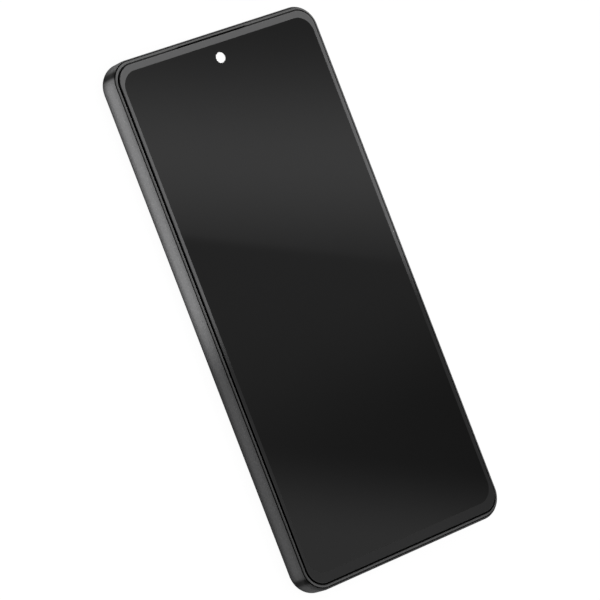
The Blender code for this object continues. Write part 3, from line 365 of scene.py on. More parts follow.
class Wire:
    """A socket of a material's nodes. Arithmetic on it adds Math nodes, and node() any other."""

    def __init__(self, tree, socket=None):
        self.tree, self.socket = tree, socket

    def node(self, kind, settings=None, values=None, output=0):
        made = self.tree.nodes.new("ShaderNode" + kind)
        for name, value in (settings or {}).items():
            setattr(made, name, value)
        for name, value in (values or {}).items():
            if isinstance(value, Wire):
                self.tree.links.new(value.socket, made.inputs[name])
            else:
                made.inputs[name].default_value = value
        return Wire(self.tree, made.outputs[output])

    def out(self, name):
        """Another output of the same node."""
        return Wire(self.tree, self.socket.node.outputs[name])

    def math(self, operation, *others):
        return self.node("Math", {"operation": operation}, dict(enumerate((self, *others))))

    __add__ = __radd__ = arithmetic("ADD")
    __mul__ = __rmul__ = arithmetic("MULTIPLY")
    __sub__, __rsub__ = arithmetic("SUBTRACT"), arithmetic("SUBTRACT", swapped=True)
    __truediv__ = arithmetic("DIVIDE")

    def axis(self, name):
        """One coordinate of a place."""
        return self.node("SeparateXYZ", values={0: self}, output=name)

    def step(self, low, high):
        """Rises smoothly from 0 at one value to 1 at the other."""
        values = {"Value": self, "From Min": low, "From Max": high}
        return self.node("MapRange", {"interpolation_type": "SMOOTHSTEP"}, values)

    def mix(self, first, second):
        """A colour between two, with this value as the share of the second."""
        tones = [tone if isinstance(tone, Wire) else (*tone, 1) for tone in (first, second)]
        return self.node("Mix", {"data_type": "RGBA"}, {0: self, 6: tones[0], 7: tones[1]}, output=2)

    def noise(self, scale, detail=2.0, rough=0.5):
        values = {"Vector": self, "Scale": scale, "Detail": detail, "Roughness": rough}
        return self.node("TexNoise", values=values)

    def cells(self, scale, randomness=1.0, distance="EUCLIDEAN"):
        """Distance from the nearest of many points, as a share of their spacing."""
        values = {"Vector": self, "Scale": scale, "Randomness": randomness}
        return self.node("TexVoronoi", {"distance": distance}, values)

    def bump(self, height_mm, strength=1.0):
        """A normal from this value, with its height in millimetres."""
        return self.node("Bump", values={"Height": self, "Distance": height_mm * MM, "Strength": strength})


def grey(level):
    return (level, level, level)


def shades(tone, spread):
    """Two colours a little darker and a little lighter than a tone."""
    return [tuple(channel * share for channel in tone) for share in (1 - spread, 1 + spread)]


def varied(value, first, second, rough, spread, **more):
    """A finish whose colour and roughness follow one value."""
    return {"Base Color": value.mix(first, second), "Roughness": rough + value * spread, **more}


def from_outline(place, box, corner):
    """Distance out from a box's outline in plan, with rounded corners, negative inside it."""
    low, high = box
    centre, half = (low + high) / 2, (high - low) / 2
    x = (place.axis("X") - centre.x).math("ABSOLUTE") - (half.x - corner)
    y = (place.axis("Y") - centre.y).math("ABSOLUTE") - (half.y - corner)
    past_x, past_y = x.math("MAXIMUM", 0), y.math("MAXIMUM", 0)
    past = (past_x * past_x + past_y * past_y).math("SQRT")
    return past + x.math("MAXIMUM", y).math("MINIMUM", 0) - corner


def from_axis(place, centre):
    """Distance in plan from an upright axis."""
    x, y = place.axis("X") - centre[0], place.axis("Y") - centre[1]
    return (x * x + y * y).math("SQRT")


def satin_metal(place, colours):
    grain = place.noise(5200, 3)
    fleck = place.noise(1500, 4, 0.7)
    y = place.axis("Y")
    # Painted shade: dark patches on the band near its corners, nearer the middle at the bottom
    along = y.math("MAXIMUM", CORNER_SHADE_SHIFT - y)
    start, full, fade, end = CORNER_SHADE
    corner_shade = along.step(start, full) * along.step(end, fade)
    flake = place.cells(1300).step(0.2, 0.08)
    dull = (grain * 0.4 + fleck * 0.6).mix(*shades(colours.band, 0.4))
    tone = (flake * 0.3).mix(dull, grey(0.5))
    return {
        "Base Color": (corner_shade * 0.97).mix(tone, grey(0.006)),
        "Specular IOR Level": 0.12,
        "Roughness": 0.46 + grain * 0.12,
        "Normal": grain.bump(0.006, 0.5),
    }


def screen_glass(place, colours):
    sizes = bpy.context.scene.phone_sizes
    low, high = GLASS_BOX
    start = Vector((low.x + sizes.border_side, low.y + sizes.border_foot))
    end = Vector((high.x - sizes.border_side, high.y - sizes.border_top))
    # Painted shade: a dark strip, where the print stops a little short of the glass's left and bottom edges
    print_low_past_shade = low + Vector((0.26 * MM, 0.1 * MM, 0))
    screen = from_outline(place, (start, end), sizes.screen_corner)
    ink = from_outline(place, (print_low_past_shade, high), sizes.glass_corner)
    rim = from_outline(place, GLASS_BOX, sizes.glass_corner)
    inked = screen.step(-0.04 * MM, 0.04 * MM) * ink.step(0.02 * MM, -0.06 * MM)
    fleck = place.noise(2600, 3)
    smear = place.noise(38, 4, 0.6)
    print_grey = fleck.mix(*shades(colours.border, 0.08))
    return {
        "Base Color": inked.mix(colours.screen, print_grey),
        "Specular IOR Level": 0.0,
        "Roughness": 0.4 + fleck * 0.1,
        "Coat Weight": rim.step(-0.05 * MM, -0.16 * MM) * (0.97 + smear * 0.06 - inked * 0.7),
    }


def white_window(place, colours):
    return varied(place.noise(700), grey(0.93), grey(0.97), 0.25, 0.1)


def rim_plastic(place, colours):
    grain = place.noise(4200, 3)
    seal_top, seal_full = 8.62 * MM, 8.5 * MM
    seal = place.axis("Z").step(seal_top, seal_full)
    wall = from_outline(place, GLASS_BOX, bpy.context.scene.phone_sizes.glass_corner)
    # Painted light: the rim's inner wall beside the glass is a light grey
    tone = wall.step(0.5 * MM, 0.46 * MM).mix(grain.mix(*shades(colours.rim, 0.2)), grey(0.16))
    return {
        "Base Color": seal.mix(tone, grey(0.024)),
        "Specular IOR Level": 0.0,
        "Roughness": 0.5 + grain * 0.1,
        "Coat Weight": 1 - seal,
        "Coat IOR": 1.8,
        "Coat Roughness": 0.32,
        "Normal": grain.bump(0.004, 0.4),
    }


def back_panel(place, colours):
    grain = place.noise(6000, 2)
    fleck = place.cells(5200).step(0.22, 0.1)
    cloud = place.noise(24)
    tone = (cloud * 0.6 + grain * 0.4).mix(*shades(colours.back, 0.18))
    return {
        "Base Color": (fleck * 0.35).mix(tone, (0.2, 0.2, 0.21)),
        "Roughness": 0.34 + grain * 0.14,
        "Normal": grain.bump(0.004, 0.5),
    }


def lens_share(place):
    """Distance from the nearest lens axis, as a share of that window's radius."""
    nearest, *others = (from_axis(place, lens) / lens[2] for lens in LENSES.values())
    for share in others:
        nearest = nearest.math("MINIMUM", share)
    return nearest


def lens_glass(place, colours):
    share = lens_share(place)
    ink = share.step(0.57, 0.6)
    line = share.step(0.69, 0.7) * share.step(0.74, 0.73)
    smear = place.noise(300, 3)
    tone = smear.mix((0.006, 0.006, 0.008), (0.009, 0.009, 0.012))
    return {
        "Base Color": line.mix(tone, (0.09, 0.09, 0.095)),
        "Roughness": 0.02 + smear * 0.03,
        "Alpha": 0.22 + 0.78 * ink,
    }


def lens_barrel(place, colours):
    share = lens_share(place)
    glass = share.step(0.34, 0.32)
    grain = place.noise(3000, 3)
    coating = share.step(0.0, 0.33).mix((0.012, 0.01, 0.045), (0.03, 0.008, 0.05))
    return {
        "Base Color": glass.mix(grain.mix(grey(0.012), grey(0.022)), coating),
        "Roughness": 0.45 + grain * 0.15 - glass * 0.4,
    }


def black_plastic(place, colours):
    grain = place.noise(3000, 3)
    return varied(grain, grey(0.014), grey(0.026), 0.45, 0.2, Normal=grain.bump(0.01, 0.5))


def sound_mesh(place, colours):
    hole = place.cells(3600, randomness=0.0).step(0.3, 0.36)
    return varied(hole, grey(0.001), grey(0.006), 0.6, 0.2, **{"Specular IOR Level": 0.1})


def black_foam(place, colours):
    cell = place.cells(3600)
    return varied(cell, grey(0.022), grey(0.008), 0.85, 0.1, Normal=cell.bump(0.05, 0.6))


def display_laminate(place, colours):
    cell = place.cells(4000, randomness=0.0, distance="CHEBYCHEV")
    return varied(cell, (0.012, 0.012, 0.014), (0.006, 0.006, 0.008), 0.2, 0.1)


def pouch_foil(place, colours):
    crease = place.noise(160, 5, 0.6)
    return varied(crease, (0.07, 0.07, 0.078), (0.11, 0.11, 0.12), 0.35, 0.25,
                  Metallic=0.4 + crease * 0.2, Normal=crease.bump(0.12, 0.5))


def circuit_board(place, colours):
    track = place.node("TexBrick", {"offset": 0.37}, {"Vector": place, "Scale": 420, "Mortar Size": 0.04})
    pad = place.cells(900).step(0.16, 0.12)
    tone = track.out("Fac").mix((0.008, 0.05, 0.042), (0.012, 0.085, 0.065))
    return {
        "Base Color": pad.mix(tone, (0.7, 0.5, 0.2)),
        "Metallic": pad * 0.9,
        "Roughness": 0.5 - pad * 0.2,
    }


def flex_film(place, colours):
    values = {"Vector": place, "Scale": 320, "Distortion": 0.0}
    line = place.node("TexWave", {"bands_direction": "X"}, values, output="Fac").step(0.55, 0.75)
    return varied(line, (0.17, 0.08, 0.018), (0.3, 0.15, 0.05), 0.4, 0.15)


def shield_steel(place, colours):
    streak = place.node("Mapping", values={"Vector": place, "Scale": (4000, 180, 4000)}).noise(1, 3)
    return varied(streak, (0.5, 0.5, 0.51), grey(0.66), 0.24, 0.2, Metallic=1.0)


def cast_alloy(place, colours):
    cast = place.noise(900, 4, 0.65)
    return varied(cast, (0.34, 0.34, 0.35), (0.46, 0.46, 0.47), 0.45, 0.2, Metallic=1.0,
                  Normal=cast.bump(0.02, 0.5))


def flash_lens(place, colours):
    pitch = 0.22 * MM
    ripple = (from_axis(place, LENSES["flash_window"]) * (2 * math.pi / pitch)).math("SINE")
    return varied(place.noise(1500, 2), (0.75, 0.66, 0.28), (0.85, 0.76, 0.36), 0.22, 0.2,
                  Normal=ripple.bump(0.03, 0.6))


def contact_tongue(place, colours):
    pitch, soft, front = 0.5 * MM, 0.05 * MM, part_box("usb_tongue")[0].y
    start, end = front + 0.4 * MM, front + 3.6 * MM
    y = place.axis("Y")
    phase = (place.axis("X") / pitch + 0.25).math("FRACT")
    strip = phase.step(0.1, 0.16) * phase.step(0.68, 0.62)
    gold = strip * y.step(start, start + soft) * y.step(end, end - soft)
    plain = place.noise(3000, 3).mix(grey(0.012), grey(0.022))
    return {
        "Base Color": gold.mix(plain, (0.78, 0.55, 0.22)),
        "Metallic": gold,
        "Roughness": 0.5 - gold * 0.25,
    }


FINISHES = {make.__name__: make for make in (
    satin_metal, screen_glass, white_window, rim_plastic, back_panel, lens_glass, black_plastic, black_foam,
    display_laminate, pouch_foil, circuit_board, flex_film, shield_steel, cast_alloy, flash_lens,
    lens_barrel, contact_tongue, sound_mesh)}


def finished(name):
    """The material of a finish, made once."""
    known = bpy.data.materials.get("finish_" + name)
    if known:
        return known
    material = bpy.data.materials.new("finish_" + name)
    material.use_nodes = True
    shader = material.node_tree.nodes["Principled BSDF"]
    place = Wire(material.node_tree).node("TexCoord", output="Object")
    for socket, value in FINISHES[name](place, bpy.context.scene.phone_colours).items():
        if isinstance(value, Wire):
            material.node_tree.links.new(value.socket, shader.inputs[socket])
        else:
            shader.inputs[socket].default_value = value
    return material


# Pieces

class PHONE_OT_side_band(bpy.types.Operator):
    """Model the satin band: its rounds, the ledges inside and the openings for keys, tray and socket"""

    bl_idname = "phone.side_band"
    bl_label = "Side band"

    def execute(self, context):
        sizes = context.scene.phone_sizes
        band = body_slab("metal_band", sizes, 0, COVER_BOX[0].z, sizes.crown,
                         ease=(sizes.back_round, sizes.front_round))
        trim(band, LEFT_LOW.z, "inner")
        top = sizes.crown + MM
        hollows = ((SHELF, 0, top), (LEDGE, SHELF_TOP, top), (WALL, SHELF_TOP, LEDGE_FOOT),
                   (WALL, LEDGE_TOP, top), (LIP, 0, COVER_BOX[1].z + GLUE_ROOM))
        for inset, low, high in hollows:
            combine(band, body_slab("hollow", sizes, inset, low, high))
        combine(band, body_slab("seam", sizes, sizes.seam_inset, RIM_FOOT, top, reach=RIM_REACH))
        for tool in self.openings(sizes):
            combine(band, tool)
        right, far, near = RIGHT_HIGH.x, RIGHT_HIGH.y, LEFT_LOW.y

        def on_wall(place):
            return min(abs(place.x - right), abs(place.y - far), abs(place.y - near)) < TINY

        ease_mouths(band, on_wall, width=0.09 * MM)
        dress(band, "satin_metal", PHONE, "side_band")
        return {"FINISHED"}

    def openings(self, sizes):
        """Tools for the key slots, the tray slot, the socket's mouth and the sound holes."""
        z, right, far, near = sizes.port_z, RIGHT_HIGH.x, RIGHT_HIGH.y, LEFT_LOW.y
        reach, depth = MM, 2.5 * MM
        for node in ("power_button", "volume_rocker"):
            low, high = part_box(node)
            grow = SLACK - sizes.key_flange
            half = (high.z - low.z) / 2 + grow
            yield pill("slot", (right - depth, low.y - grow, z - half),
                       (right + reach, high.y + grow, z + half), along=0)
        low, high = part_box("sim_tray")
        half = (high.z - low.z) / 2 + SLACK
        yield pill("slot", (low.x - SLACK, far - depth, z - half),
                   (high.x + SLACK, far + reach, z + half), along=1)
        low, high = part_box("usb_shell")
        yield pill("slot", (low.x, near - reach, low.z), (high.x, near + depth, high.z), along=1)
        for hole in range(SPEAKER_HOLES):
            x = SPEAKER_X + (hole - (SPEAKER_HOLES - 1) / 2) * SPEAKER_PITCH
            yield drill((x, near - reach, z), (x, near + depth, z), SPEAKER_RADIUS)
        yield drill((TOP_MIC_X, far - depth, z), (TOP_MIC_X, far + reach, z), MIC_RADIUS)
        yield drill((LOW_MIC_X, near - reach, z), (LOW_MIC_X, near + depth, z), MIC_RADIUS)


class PHONE_OT_front_rim(bpy.types.Operator):
    """Model the plastic rim round the glass, with its ledge and the earpiece slot"""

    bl_idname = "phone.front_rim"
    bl_label = "Front rim"

    def execute(self, context):
        sizes = context.scene.phone_sizes
        low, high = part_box("front_rim")
        seat_foot, window_inset, spare = 8.1 * MM, 0.98 * MM, 0.01 * MM
        top, edge = sizes.crown + MM, GLASS_BOX[1].y
        rim = body_slab("glass_rim", sizes, sizes.rim_inset, low.z, high.z + spare, reach=RIM_REACH)
        shell = body_slab("shell", sizes, 0, 0, sizes.crown, ease=(0, sizes.front_round))
        combine(rim, shell, "INTERSECT")
        combine(rim, glass_slab("seat", sizes, -sizes.glass_gap, seat_foot, top))
        combine(rim, glass_slab("window", sizes, window_inset, 0, top))
        combine(rim, rounded("slot", (-EAR_HALF, edge - EAR_BELOW, 0), (EAR_HALF, edge + EAR_ABOVE, top),
                             EAR_CORNER))
        dress(rim, "rim_plastic", PHONE, "front_rim")
        return {"FINISHED"}


class PHONE_OT_cover_glass(bpy.types.Operator):
    """Model the screen glass with its eased edge and the white camera window in its hole"""

    bl_idname = "phone.cover_glass"
    bl_label = "Screen glass"

    def execute(self, context):
        sizes = context.scene.phone_sizes
        low, high = GLASS_BOX
        back_ease, camera_room = 0.06 * MM, 0.08 * MM
        glass = glass_slab("screen_glass", sizes, 0, low.z, high.z, ease=(back_ease, sizes.glass_ease))
        at = middle_of("front_camera_window").xy
        combine(glass, drill((*at, low.z - MM), (*at, high.z + MM), sizes.camera_radius + camera_room, 96))
        ease_mouths(glass, on_level(2, high.z), width=0.04 * MM)
        dress(glass, "screen_glass", PHONE, "cover_glass")
        low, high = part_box("front_camera_window")
        radius, ease = sizes.camera_radius, 0.05 * MM
        window = turned("camera_dot", at, [(radius - ease, low.z), (radius, low.z + ease),
                                           (radius, high.z - ease), (radius - ease, high.z)], 96)
        dress(window, "white_window", PHONE, "front_camera_window")
        return {"FINISHED"}


class PHONE_OT_rear_cover(bpy.types.Operator):
    """Model the back panel with its rounded edge and the opening for the camera island"""

    bl_idname = "phone.rear_cover"
    bl_label = "Back panel"

    def execute(self, context):
        sizes = context.scene.phone_sizes
        low, high = COVER_BOX
        cover = body_slab("back_panel", sizes, 0, low.z, sizes.crown, ease=(sizes.back_round, 0))
        trim(cover, high.z, "outer")
        combine(cover, island_slab("opening", sizes, sizes.island_flange - ISLAND_ROOM, 0, high.z + MM))
        ease_mouths(cover, on_level(2, low.z), width=0.08 * MM)
        dress(cover, "back_panel", PHONE, "rear_cover")
        return {"FINISHED"}


class PHONE_OT_camera_island(bpy.types.Operator):
    """Model the camera island: its eased outer edge, the flange inside and a stepped bore per window"""

    bl_idname = "phone.camera_island"
    bl_label = "Camera island"

    def execute(self, context):
        sizes = context.scene.phone_sizes
        low, high = ISLAND_BOX
        ledge, top = 0.6 * MM, 4 * MM
        island = island_slab("lens_island", sizes, sizes.island_flange, low.z, high.z,
                             ease=(sizes.island_ease, 0), steps=(20, 8))
        combine(island, island_slab("flange", sizes, 0, COVER_BOX[1].z + ISLAND_ROOM, high.z), "UNION")
        for node, (x, y, radius) in LENSES.items():
            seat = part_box(node)[1].z + ISLAND_ROOM
            wide, narrow = radius + ISLAND_ROOM, radius - ledge
            bore = [(wide, -MM), (wide, seat), (narrow, seat), (narrow, top)]
            combine(island, turned("bore", (x, y), bore, 96))
        ease_mouths(island, on_level(2, low.z), width=0.14 * MM)
        dress(island, "satin_metal", PHONE, "camera_island")
        return {"FINISHED"}


class PHONE_OT_lens_windows(bpy.types.Operator):
    """Model the three lens windows and the flash's cover, each a chamfered disc in its seat"""

    bl_idname = "phone.lens_windows"
    bl_label = "Lens windows"

    def execute(self, context):
        names = ("main_window", "wide_window", "close_window", "flash_cover")
        for name, (node, (x, y, radius)) in zip(names, LENSES.items()):
            low, high = (corner.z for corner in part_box(node))
            ease = 0.1 * MM
            disc = turned(name, (x, y), [(radius - ease, low), (radius - 0.3 * ease, low + 0.3 * ease),
                                         (radius, low + ease), (radius, high)], 96)
            dress(disc, SLOTS[node], PHONE, node)
        return {"FINISHED"}


class PHONE_OT_rear_cameras(bpy.types.Operator):
    """Model the focusing lens barrel and the two smaller cameras, with baffle rings round an element"""

    bl_idname = "phone.rear_cameras"
    bl_label = "Rear cameras"

    def lens(self, name, centre, outer, foot, tip, mouth):
        """A barrel from its foot to its tip, stepping in to a domed element at the mouth's radius."""
        into = math.copysign(MM, foot - tip)
        shoulder, lip, depth, rise = 0.9 * into, 0.3 * into, 0.16 * into, 0.28 * into
        step = (outer - mouth) / 4
        profile = [(outer, foot), (outer, tip + shoulder), (outer - step, tip + lip), (outer - step, tip)]
        for ring in range(3):
            radius = outer - (ring + 2) * step
            profile += [(radius, tip + ring * depth), (radius, tip + (ring + 1) * depth)]
        for angle in range(15, 90, 15):
            turn = math.radians(angle)
            profile.append((mouth * math.cos(turn), tip + 3 * depth - rise * math.sin(turn)))
        return turned(name, centre, profile, 72)

    def execute(self, context):
        low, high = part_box("main_camera_lens")
        at = middle_of("main_lens_window").xy
        barrel = self.lens("main_lens", at, high.x - at.x, high.z, low.z, mouth=1.6 * MM)
        dress(barrel, "lens_barrel", "focus_lens", "main_camera_lens", slot="black_plastic")
        corner, overlap, mouth_share = 0.8 * MM, 0.5 * MM, 0.33
        for name, node, window, foot in (
                ("wide_camera", "ultrawide_camera", "ultrawide_lens_window", 2.9 * MM),
                ("close_camera", "macro_camera", "macro_lens_window", 3.2 * MM)):
            low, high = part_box(node)
            x, y, radius = LENSES[window]
            camera = rounded(name, (low.x, low.y, foot), high, corner, ease=(0.2 * MM, 0.1 * MM),
                             steps=(6, 3))
            nose = self.lens("nose", (x, y), radius - MM, foot + overlap, low.z, mouth_share * radius)
            combine(camera, nose, "UNION")
            dress(camera, "lens_barrel", PHONE, node, slot="black_plastic")
        return {"FINISHED"}


class PHONE_OT_keys(bpy.types.Operator):
    """Model the power key and the volume key: crowned cap, flange and plungers"""

    bl_idname = "phone.keys"
    bl_label = "Side keys"

    def execute(self, context):
        sizes = context.scene.phone_sizes
        plunger_length, flange_end, plunger_radius, overlap = 0.2 * MM, 0.7 * MM, 0.7 * MM, 0.1 * MM
        for name, node, plungers in (("power_key", "power_button", (0,)),
                                     ("volume_key", "volume_rocker", (-7 * MM, 7 * MM))):
            low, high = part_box(node)
            grow = Vector((0, sizes.key_flange, sizes.key_flange))
            foot, neck = low.x + plunger_length, low.x + flange_end
            key = pill(name, Vector((foot + overlap, low.y, low.z)) + grow, high - grow, along=0,
                       ease=(0, sizes.key_crown), steps=(14, 6))
            combine(key, pill("flange", (foot, low.y, low.z), (neck, high.y, high.z), along=0), "UNION")
            y, z = (low.y + high.y) / 2, (low.z + high.z) / 2
            for offset in plungers:
                plunger = drill((low.x, y + offset, z), (foot + overlap, y + offset, z), plunger_radius)
                combine(key, plunger, "UNION")
            dress(key, "satin_metal", node, node)
        return {"FINISHED"}


class PHONE_OT_card_tray(bpy.types.Operator):
    """Model the card tray: its face with the pin hole, and the carrier with two notched card seats"""

    bl_idname = "phone.card_tray"
    bl_label = "Card tray"

    def execute(self, context):
        low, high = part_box("sim_tray")
        face_depth, pin_inset, pin_radius = 1.3 * MM, 1.6 * MM, 0.45 * MM
        z, face, pin = (low.z + high.z) / 2, high.y - face_depth, high.x - pin_inset
        tray = pill("card_tray", (low.x, face, low.z), high, along=1, ease=(0, 0.12 * MM), steps=(14, 4))
        side, half, corner, ease = MM, 0.5 * MM, 0.6 * MM, 0.08 * MM
        left, right = low.x + side, high.x - side
        carrier = rounded("carrier", (left, low.y, z - half), (right, face + half, z + half), corner,
                          ease=(ease, ease), steps=(6, 2))
        rail, bar = 1.4 * MM, 1.2 * MM
        span = (face - low.y - 3 * bar) / 2
        for row in range(2):
            start = low.y + bar + row * (span + bar)
            combine(carrier, self.card_seat((left + rail, start), (right - rail, start + span), z))
        combine(tray, carrier, "UNION")
        combine(tray, drill((pin, face - 2 * MM, z), (pin, high.y + MM, z), pin_radius))
        ease_mouths(tray, on_level(1, high.y), width=0.06 * MM)
        dress(tray, "satin_metal", "sim_tray", "sim_tray")
        return {"FINISHED"}

    def card_seat(self, start, end, z):
        """A tool with a card's outline: one corner cut off, the others rounded."""
        seat = block("seat", (*start, z - MM), (*end, z + MM))
        notch, corner_round = 1.5 * MM, 0.5 * MM

        def upright_at(*corners):
            def test(edge):
                return any(all((vertex.co.xy - Vector(corner)).length < TINY for vertex in edge.verts)
                           for corner in corners)
            return test

        with editing(seat):
            pick(seat, "EDGE", upright_at((start[0], end[1])))
            bevel(notch, 1)
            pick(seat, "EDGE", upright_at(start, end, (end[0], start[1])))
            bevel(corner_round, 4)
        return seat


class PHONE_OT_socket(bpy.types.Operator):
    """Model the charging socket's drawn shell and its contact tongue"""

    bl_idname = "phone.socket"
    bl_label = "Charging socket"

    def execute(self, context):
        low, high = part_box("usb_shell")
        wall, back = 0.3 * MM, 0.6 * MM
        shell = pill("usb_sleeve", low, high, along=1, ease=(0.08 * MM, 0), steps=(14, 3))
        combine(shell, pill("mouth", (low.x + wall, low.y - MM, low.z + wall),
                            (high.x - wall, high.y - back, high.z - wall), along=1, steps=(14, 1)))
        ease_mouths(shell, on_level(1, low.y), width=0.06 * MM)
        dress(shell, "shield_steel", PHONE, "usb_shell")
        low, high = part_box("usb_tongue")
        corner, ease = 0.1 * MM, 0.09 * MM
        tongue = rounded("usb_contacts", low, high, corner, along=1, ease=(ease, 0), steps=(4, 3))
        dress(tongue, "contact_tongue", PHONE, "usb_tongue", slot="black_plastic")
        return {"FINISHED"}


class PHONE_OT_inside(bpy.types.Operator):
    """Give the CAD nodes that keep their shape their finishes"""

    bl_idname = "phone.inside"
    bl_label = "Inner pieces"

    def execute(self, context):
        for name, node in frame["nodes"].items():
            if not node.hide_render:
                node.data.materials.clear()
                woven = name in ("earpiece_grille", "loudspeaker_mesh")
                node.data.materials.append(finished("sound_mesh" if woven else SLOTS[name]))
        return {"FINISHED"}


def mirrored(rays):
    """1 for what a reflection or a view through glass sees."""
    return rays.out("Is Glossy Ray").math("MAXIMUM", rays.out("Is Transmission Ray"))


def facing(location, toward):
    """Where a plate of the studio lies, with its face turned one way."""
    return Matrix.Translation(location) @ Vector(toward).to_track_quat("Z", "Y").to_matrix().to_4x4()


class PHONE_OT_stage(bpy.types.Operator):
    """Set the camera, the floor, the lamps with their nets and the card that the screen mirrors"""

    bl_idname = "phone.stage"
    bl_label = "Studio"

    def execute(self, context):
        scene, studio = context.scene, context.scene.phone_studio
        scene.view_settings.view_transform = "Standard"
        # The photograph's viewing angle: the picture's right and up, the way ahead and the camera's place
        right = Vector((0.762393, -0.358799, 0.538535))
        up = Vector((0.292693, 0.933414, 0.207528))
        ahead = Vector((0.577137, 0.000593, -0.816647))
        place = Vector((-0.60622, -0.00154, 0.86059))
        camera = bpy.data.objects.new("photo_camera", bpy.data.cameras.new("photo_camera"))
        scene.collection.objects.link(camera)
        camera.data.lens, camera.data.sensor_width = 218.4, 36
        camera.data.clip_start, camera.data.clip_end = 0.01, 50
        turn = Matrix((right, up, -ahead)).transposed().to_4x4()
        camera.matrix_world = Matrix.Translation(place) @ turn
        scene.camera = camera
        self.world(scene, studio)
        self.floor(studio)
        self.lights(studio)
        self.card(studio, right, up, ahead)
        return {"FINISHED"}

    def world(self, scene, studio):
        """White for the picture, reflections and views through glass, dim as a light."""
        world = bpy.data.worlds.new("studio")
        scene.world = world
        world.use_nodes = True
        background = world.node_tree.nodes["Background"]
        rays = Wire(world.node_tree).node("LightPath")
        shown = rays.math("MAXIMUM", mirrored(rays))
        background.inputs["Color"].default_value = (1, 1, 1, 1)
        strength = studio.ambient + shown * (1 - studio.ambient)
        world.node_tree.links.new(strength.socket, background.inputs["Strength"])

    def floor(self, studio):
        """A white floor with the phone's soft shadow, which isn't there for a view from below."""
        def shader(wire):
            plain = wire.node("BsdfDiffuse", values={"Color": (*grey(0.25), 1)})
            rays = wire.node("LightPath")
            clear = wire.node("AmbientOcclusion", {"samples": 8}, {"Distance": 0.04}, output="AO")
            shadow = 0.06
            # Painted shadow: the glow dims near the phone, a little for the camera and much more for
            # reflections
            shown = rays * (1 - shadow + shadow * clear) + mirrored(rays) * clear.math("POWER", 4)
            glow = wire.node("Emission", values={"Strength": shown * studio.floor})
            both = wire.node("AddShader", values={0: plain, 1: glow})
            below = wire.node("NewGeometry", output="Backfacing")
            return wire.node("MixShader", values={0: below, 1: both, 2: wire.node("BsdfTransparent")})

        self.sheet("studio_floor", (6, 6), facing((0, 0, -0.05 * MM), (0, 0, 1)), ("shadow",), shader)

    def sheet(self, name, size, place, unseen, shader):
        """A flat plate in the studio, hidden from some kinds of ray. A function makes its shader."""
        start_clean()
        bpy.ops.mesh.primitive_plane_add(size=1)
        bpy.context.object.scale = (*size, 1)
        plate = named(name)
        plate.matrix_world = place
        for kind in unseen:
            setattr(plate, "visible_" + kind, False)
        material = bpy.data.materials.new(name)
        material.use_nodes = True
        tree = material.node_tree
        tree.nodes.clear()
        output = tree.nodes.new("ShaderNodeOutputMaterial")
        tree.links.new(shader(Wire(tree)).socket, output.inputs["Surface"])
        plate.data.materials.append(material)

    def board(self, name, size, place, shade):
        """A grey board that only reflections see, as dark card stands round a glossy object."""
        self.sheet(name, size, place, ("camera", "diffuse", "transmission", "shadow"),
                   lambda wire: wire.node("Emission", values={"Strength": shade}))

    def net(self, name, size, place, passes):
        """A plate that only lamps see, which lets a share of their light pass."""
        self.sheet(name, size, place, ("camera", "diffuse", "glossy", "transmission"),
                   lambda wire: wire.node("BsdfTransparent", values={"Color": (*grey(passes), 1)}))

    def scrim(self, light, stop, passes, way=-1, share=0.85):
        """A net on the way to a lamp that dims its light below (-1) or above (1) a place along Y."""
        half = 0.2
        edge = Vector((0, stop, 0)).lerp(light.location, share)
        toward = Vector((light.location.x, 0, light.location.z))
        place = facing(edge + Vector((0, half * way, 0)), toward)
        self.net(light.name + "_scrim", (2 * half, 2 * half), place, passes)

    def flag(self, light, height, way=-1, passes=0):
        """A net half way to a lamp at the side that dims its light below (-1) or above (1) a height."""
        half, share = 0.1, 0.488
        toward = Vector((light.location.x, 0, 0)) if light.location.x else Vector((0, light.location.y, 0))
        wall = RIGHT_HIGH.x if light.location.x else RIGHT_HIGH.y
        edge = (toward.normalized() * wall + Vector((0, 0, height))).lerp(light.location, share)
        place = facing(edge + Vector((0, 0, half * way)), toward)
        self.net(light.name + "_flag", (0.8, 2 * half), place, passes)

    def lamp(self, name, toward, strength, middle=0, size=0.002, reach=1.5):
        """A round lamp, 1 being a plain level, over a place along the phone's length."""
        light = bpy.data.objects.new(name, bpy.data.lights.new(name, "POINT"))
        bpy.context.scene.collection.objects.link(light)
        light.location = Vector(toward).normalized() * reach + Vector((0, middle, 0))
        light.data.shadow_soft_size = size
        light.visible_glossy = False
        light.data.energy = strength * 4 * math.pi ** 2 * reach ** 2
        return light

    def aim(self, light, *names):
        """Let a lamp light some pieces alone."""
        lit = bpy.data.collections.new(light.name + "_lit")
        for name in names:
            lit.objects.link(bpy.data.objects[name])
        light.light_linking.receiver_collection = lit

    def lights(self, studio):
        stop = studio.light_stops
        top = self.lamp("top_light", (-0.15, 0, 1), studio.top, stop)
        side = self.lamp("side_light", (-1, 0, -0.12), studio.side, stop)
        right = self.lamp("right_light", (1, 0, 0.09), studio.right, stop)
        far = self.lamp("far_light", (0, 1, 0.09), studio.far)
        near = self.lamp("near_light", (0, -1, 0.09), studio.near)
        under = self.lamp("under_light", (-0.3, -0.4, -1), studio.under, size=0.3)
        self.aim(top, "screen_glass", "glass_rim", "camera_dot")
        self.aim(under, "back_panel", "lens_island", "main_window", "wide_window", "close_window",
                 "flash_cover")
        # The lower half of the phone is darker, and so are the ends of its left side
        self.scrim(top, stop, passes=0.075)
        for light in (side, right):
            self.scrim(light, stop, studio.scrim)
        self.scrim(side, 77.4 * MM, passes=0.35, way=1, share=0.5)
        self.scrim(side, -76 * MM, passes=0.5, share=0.5)
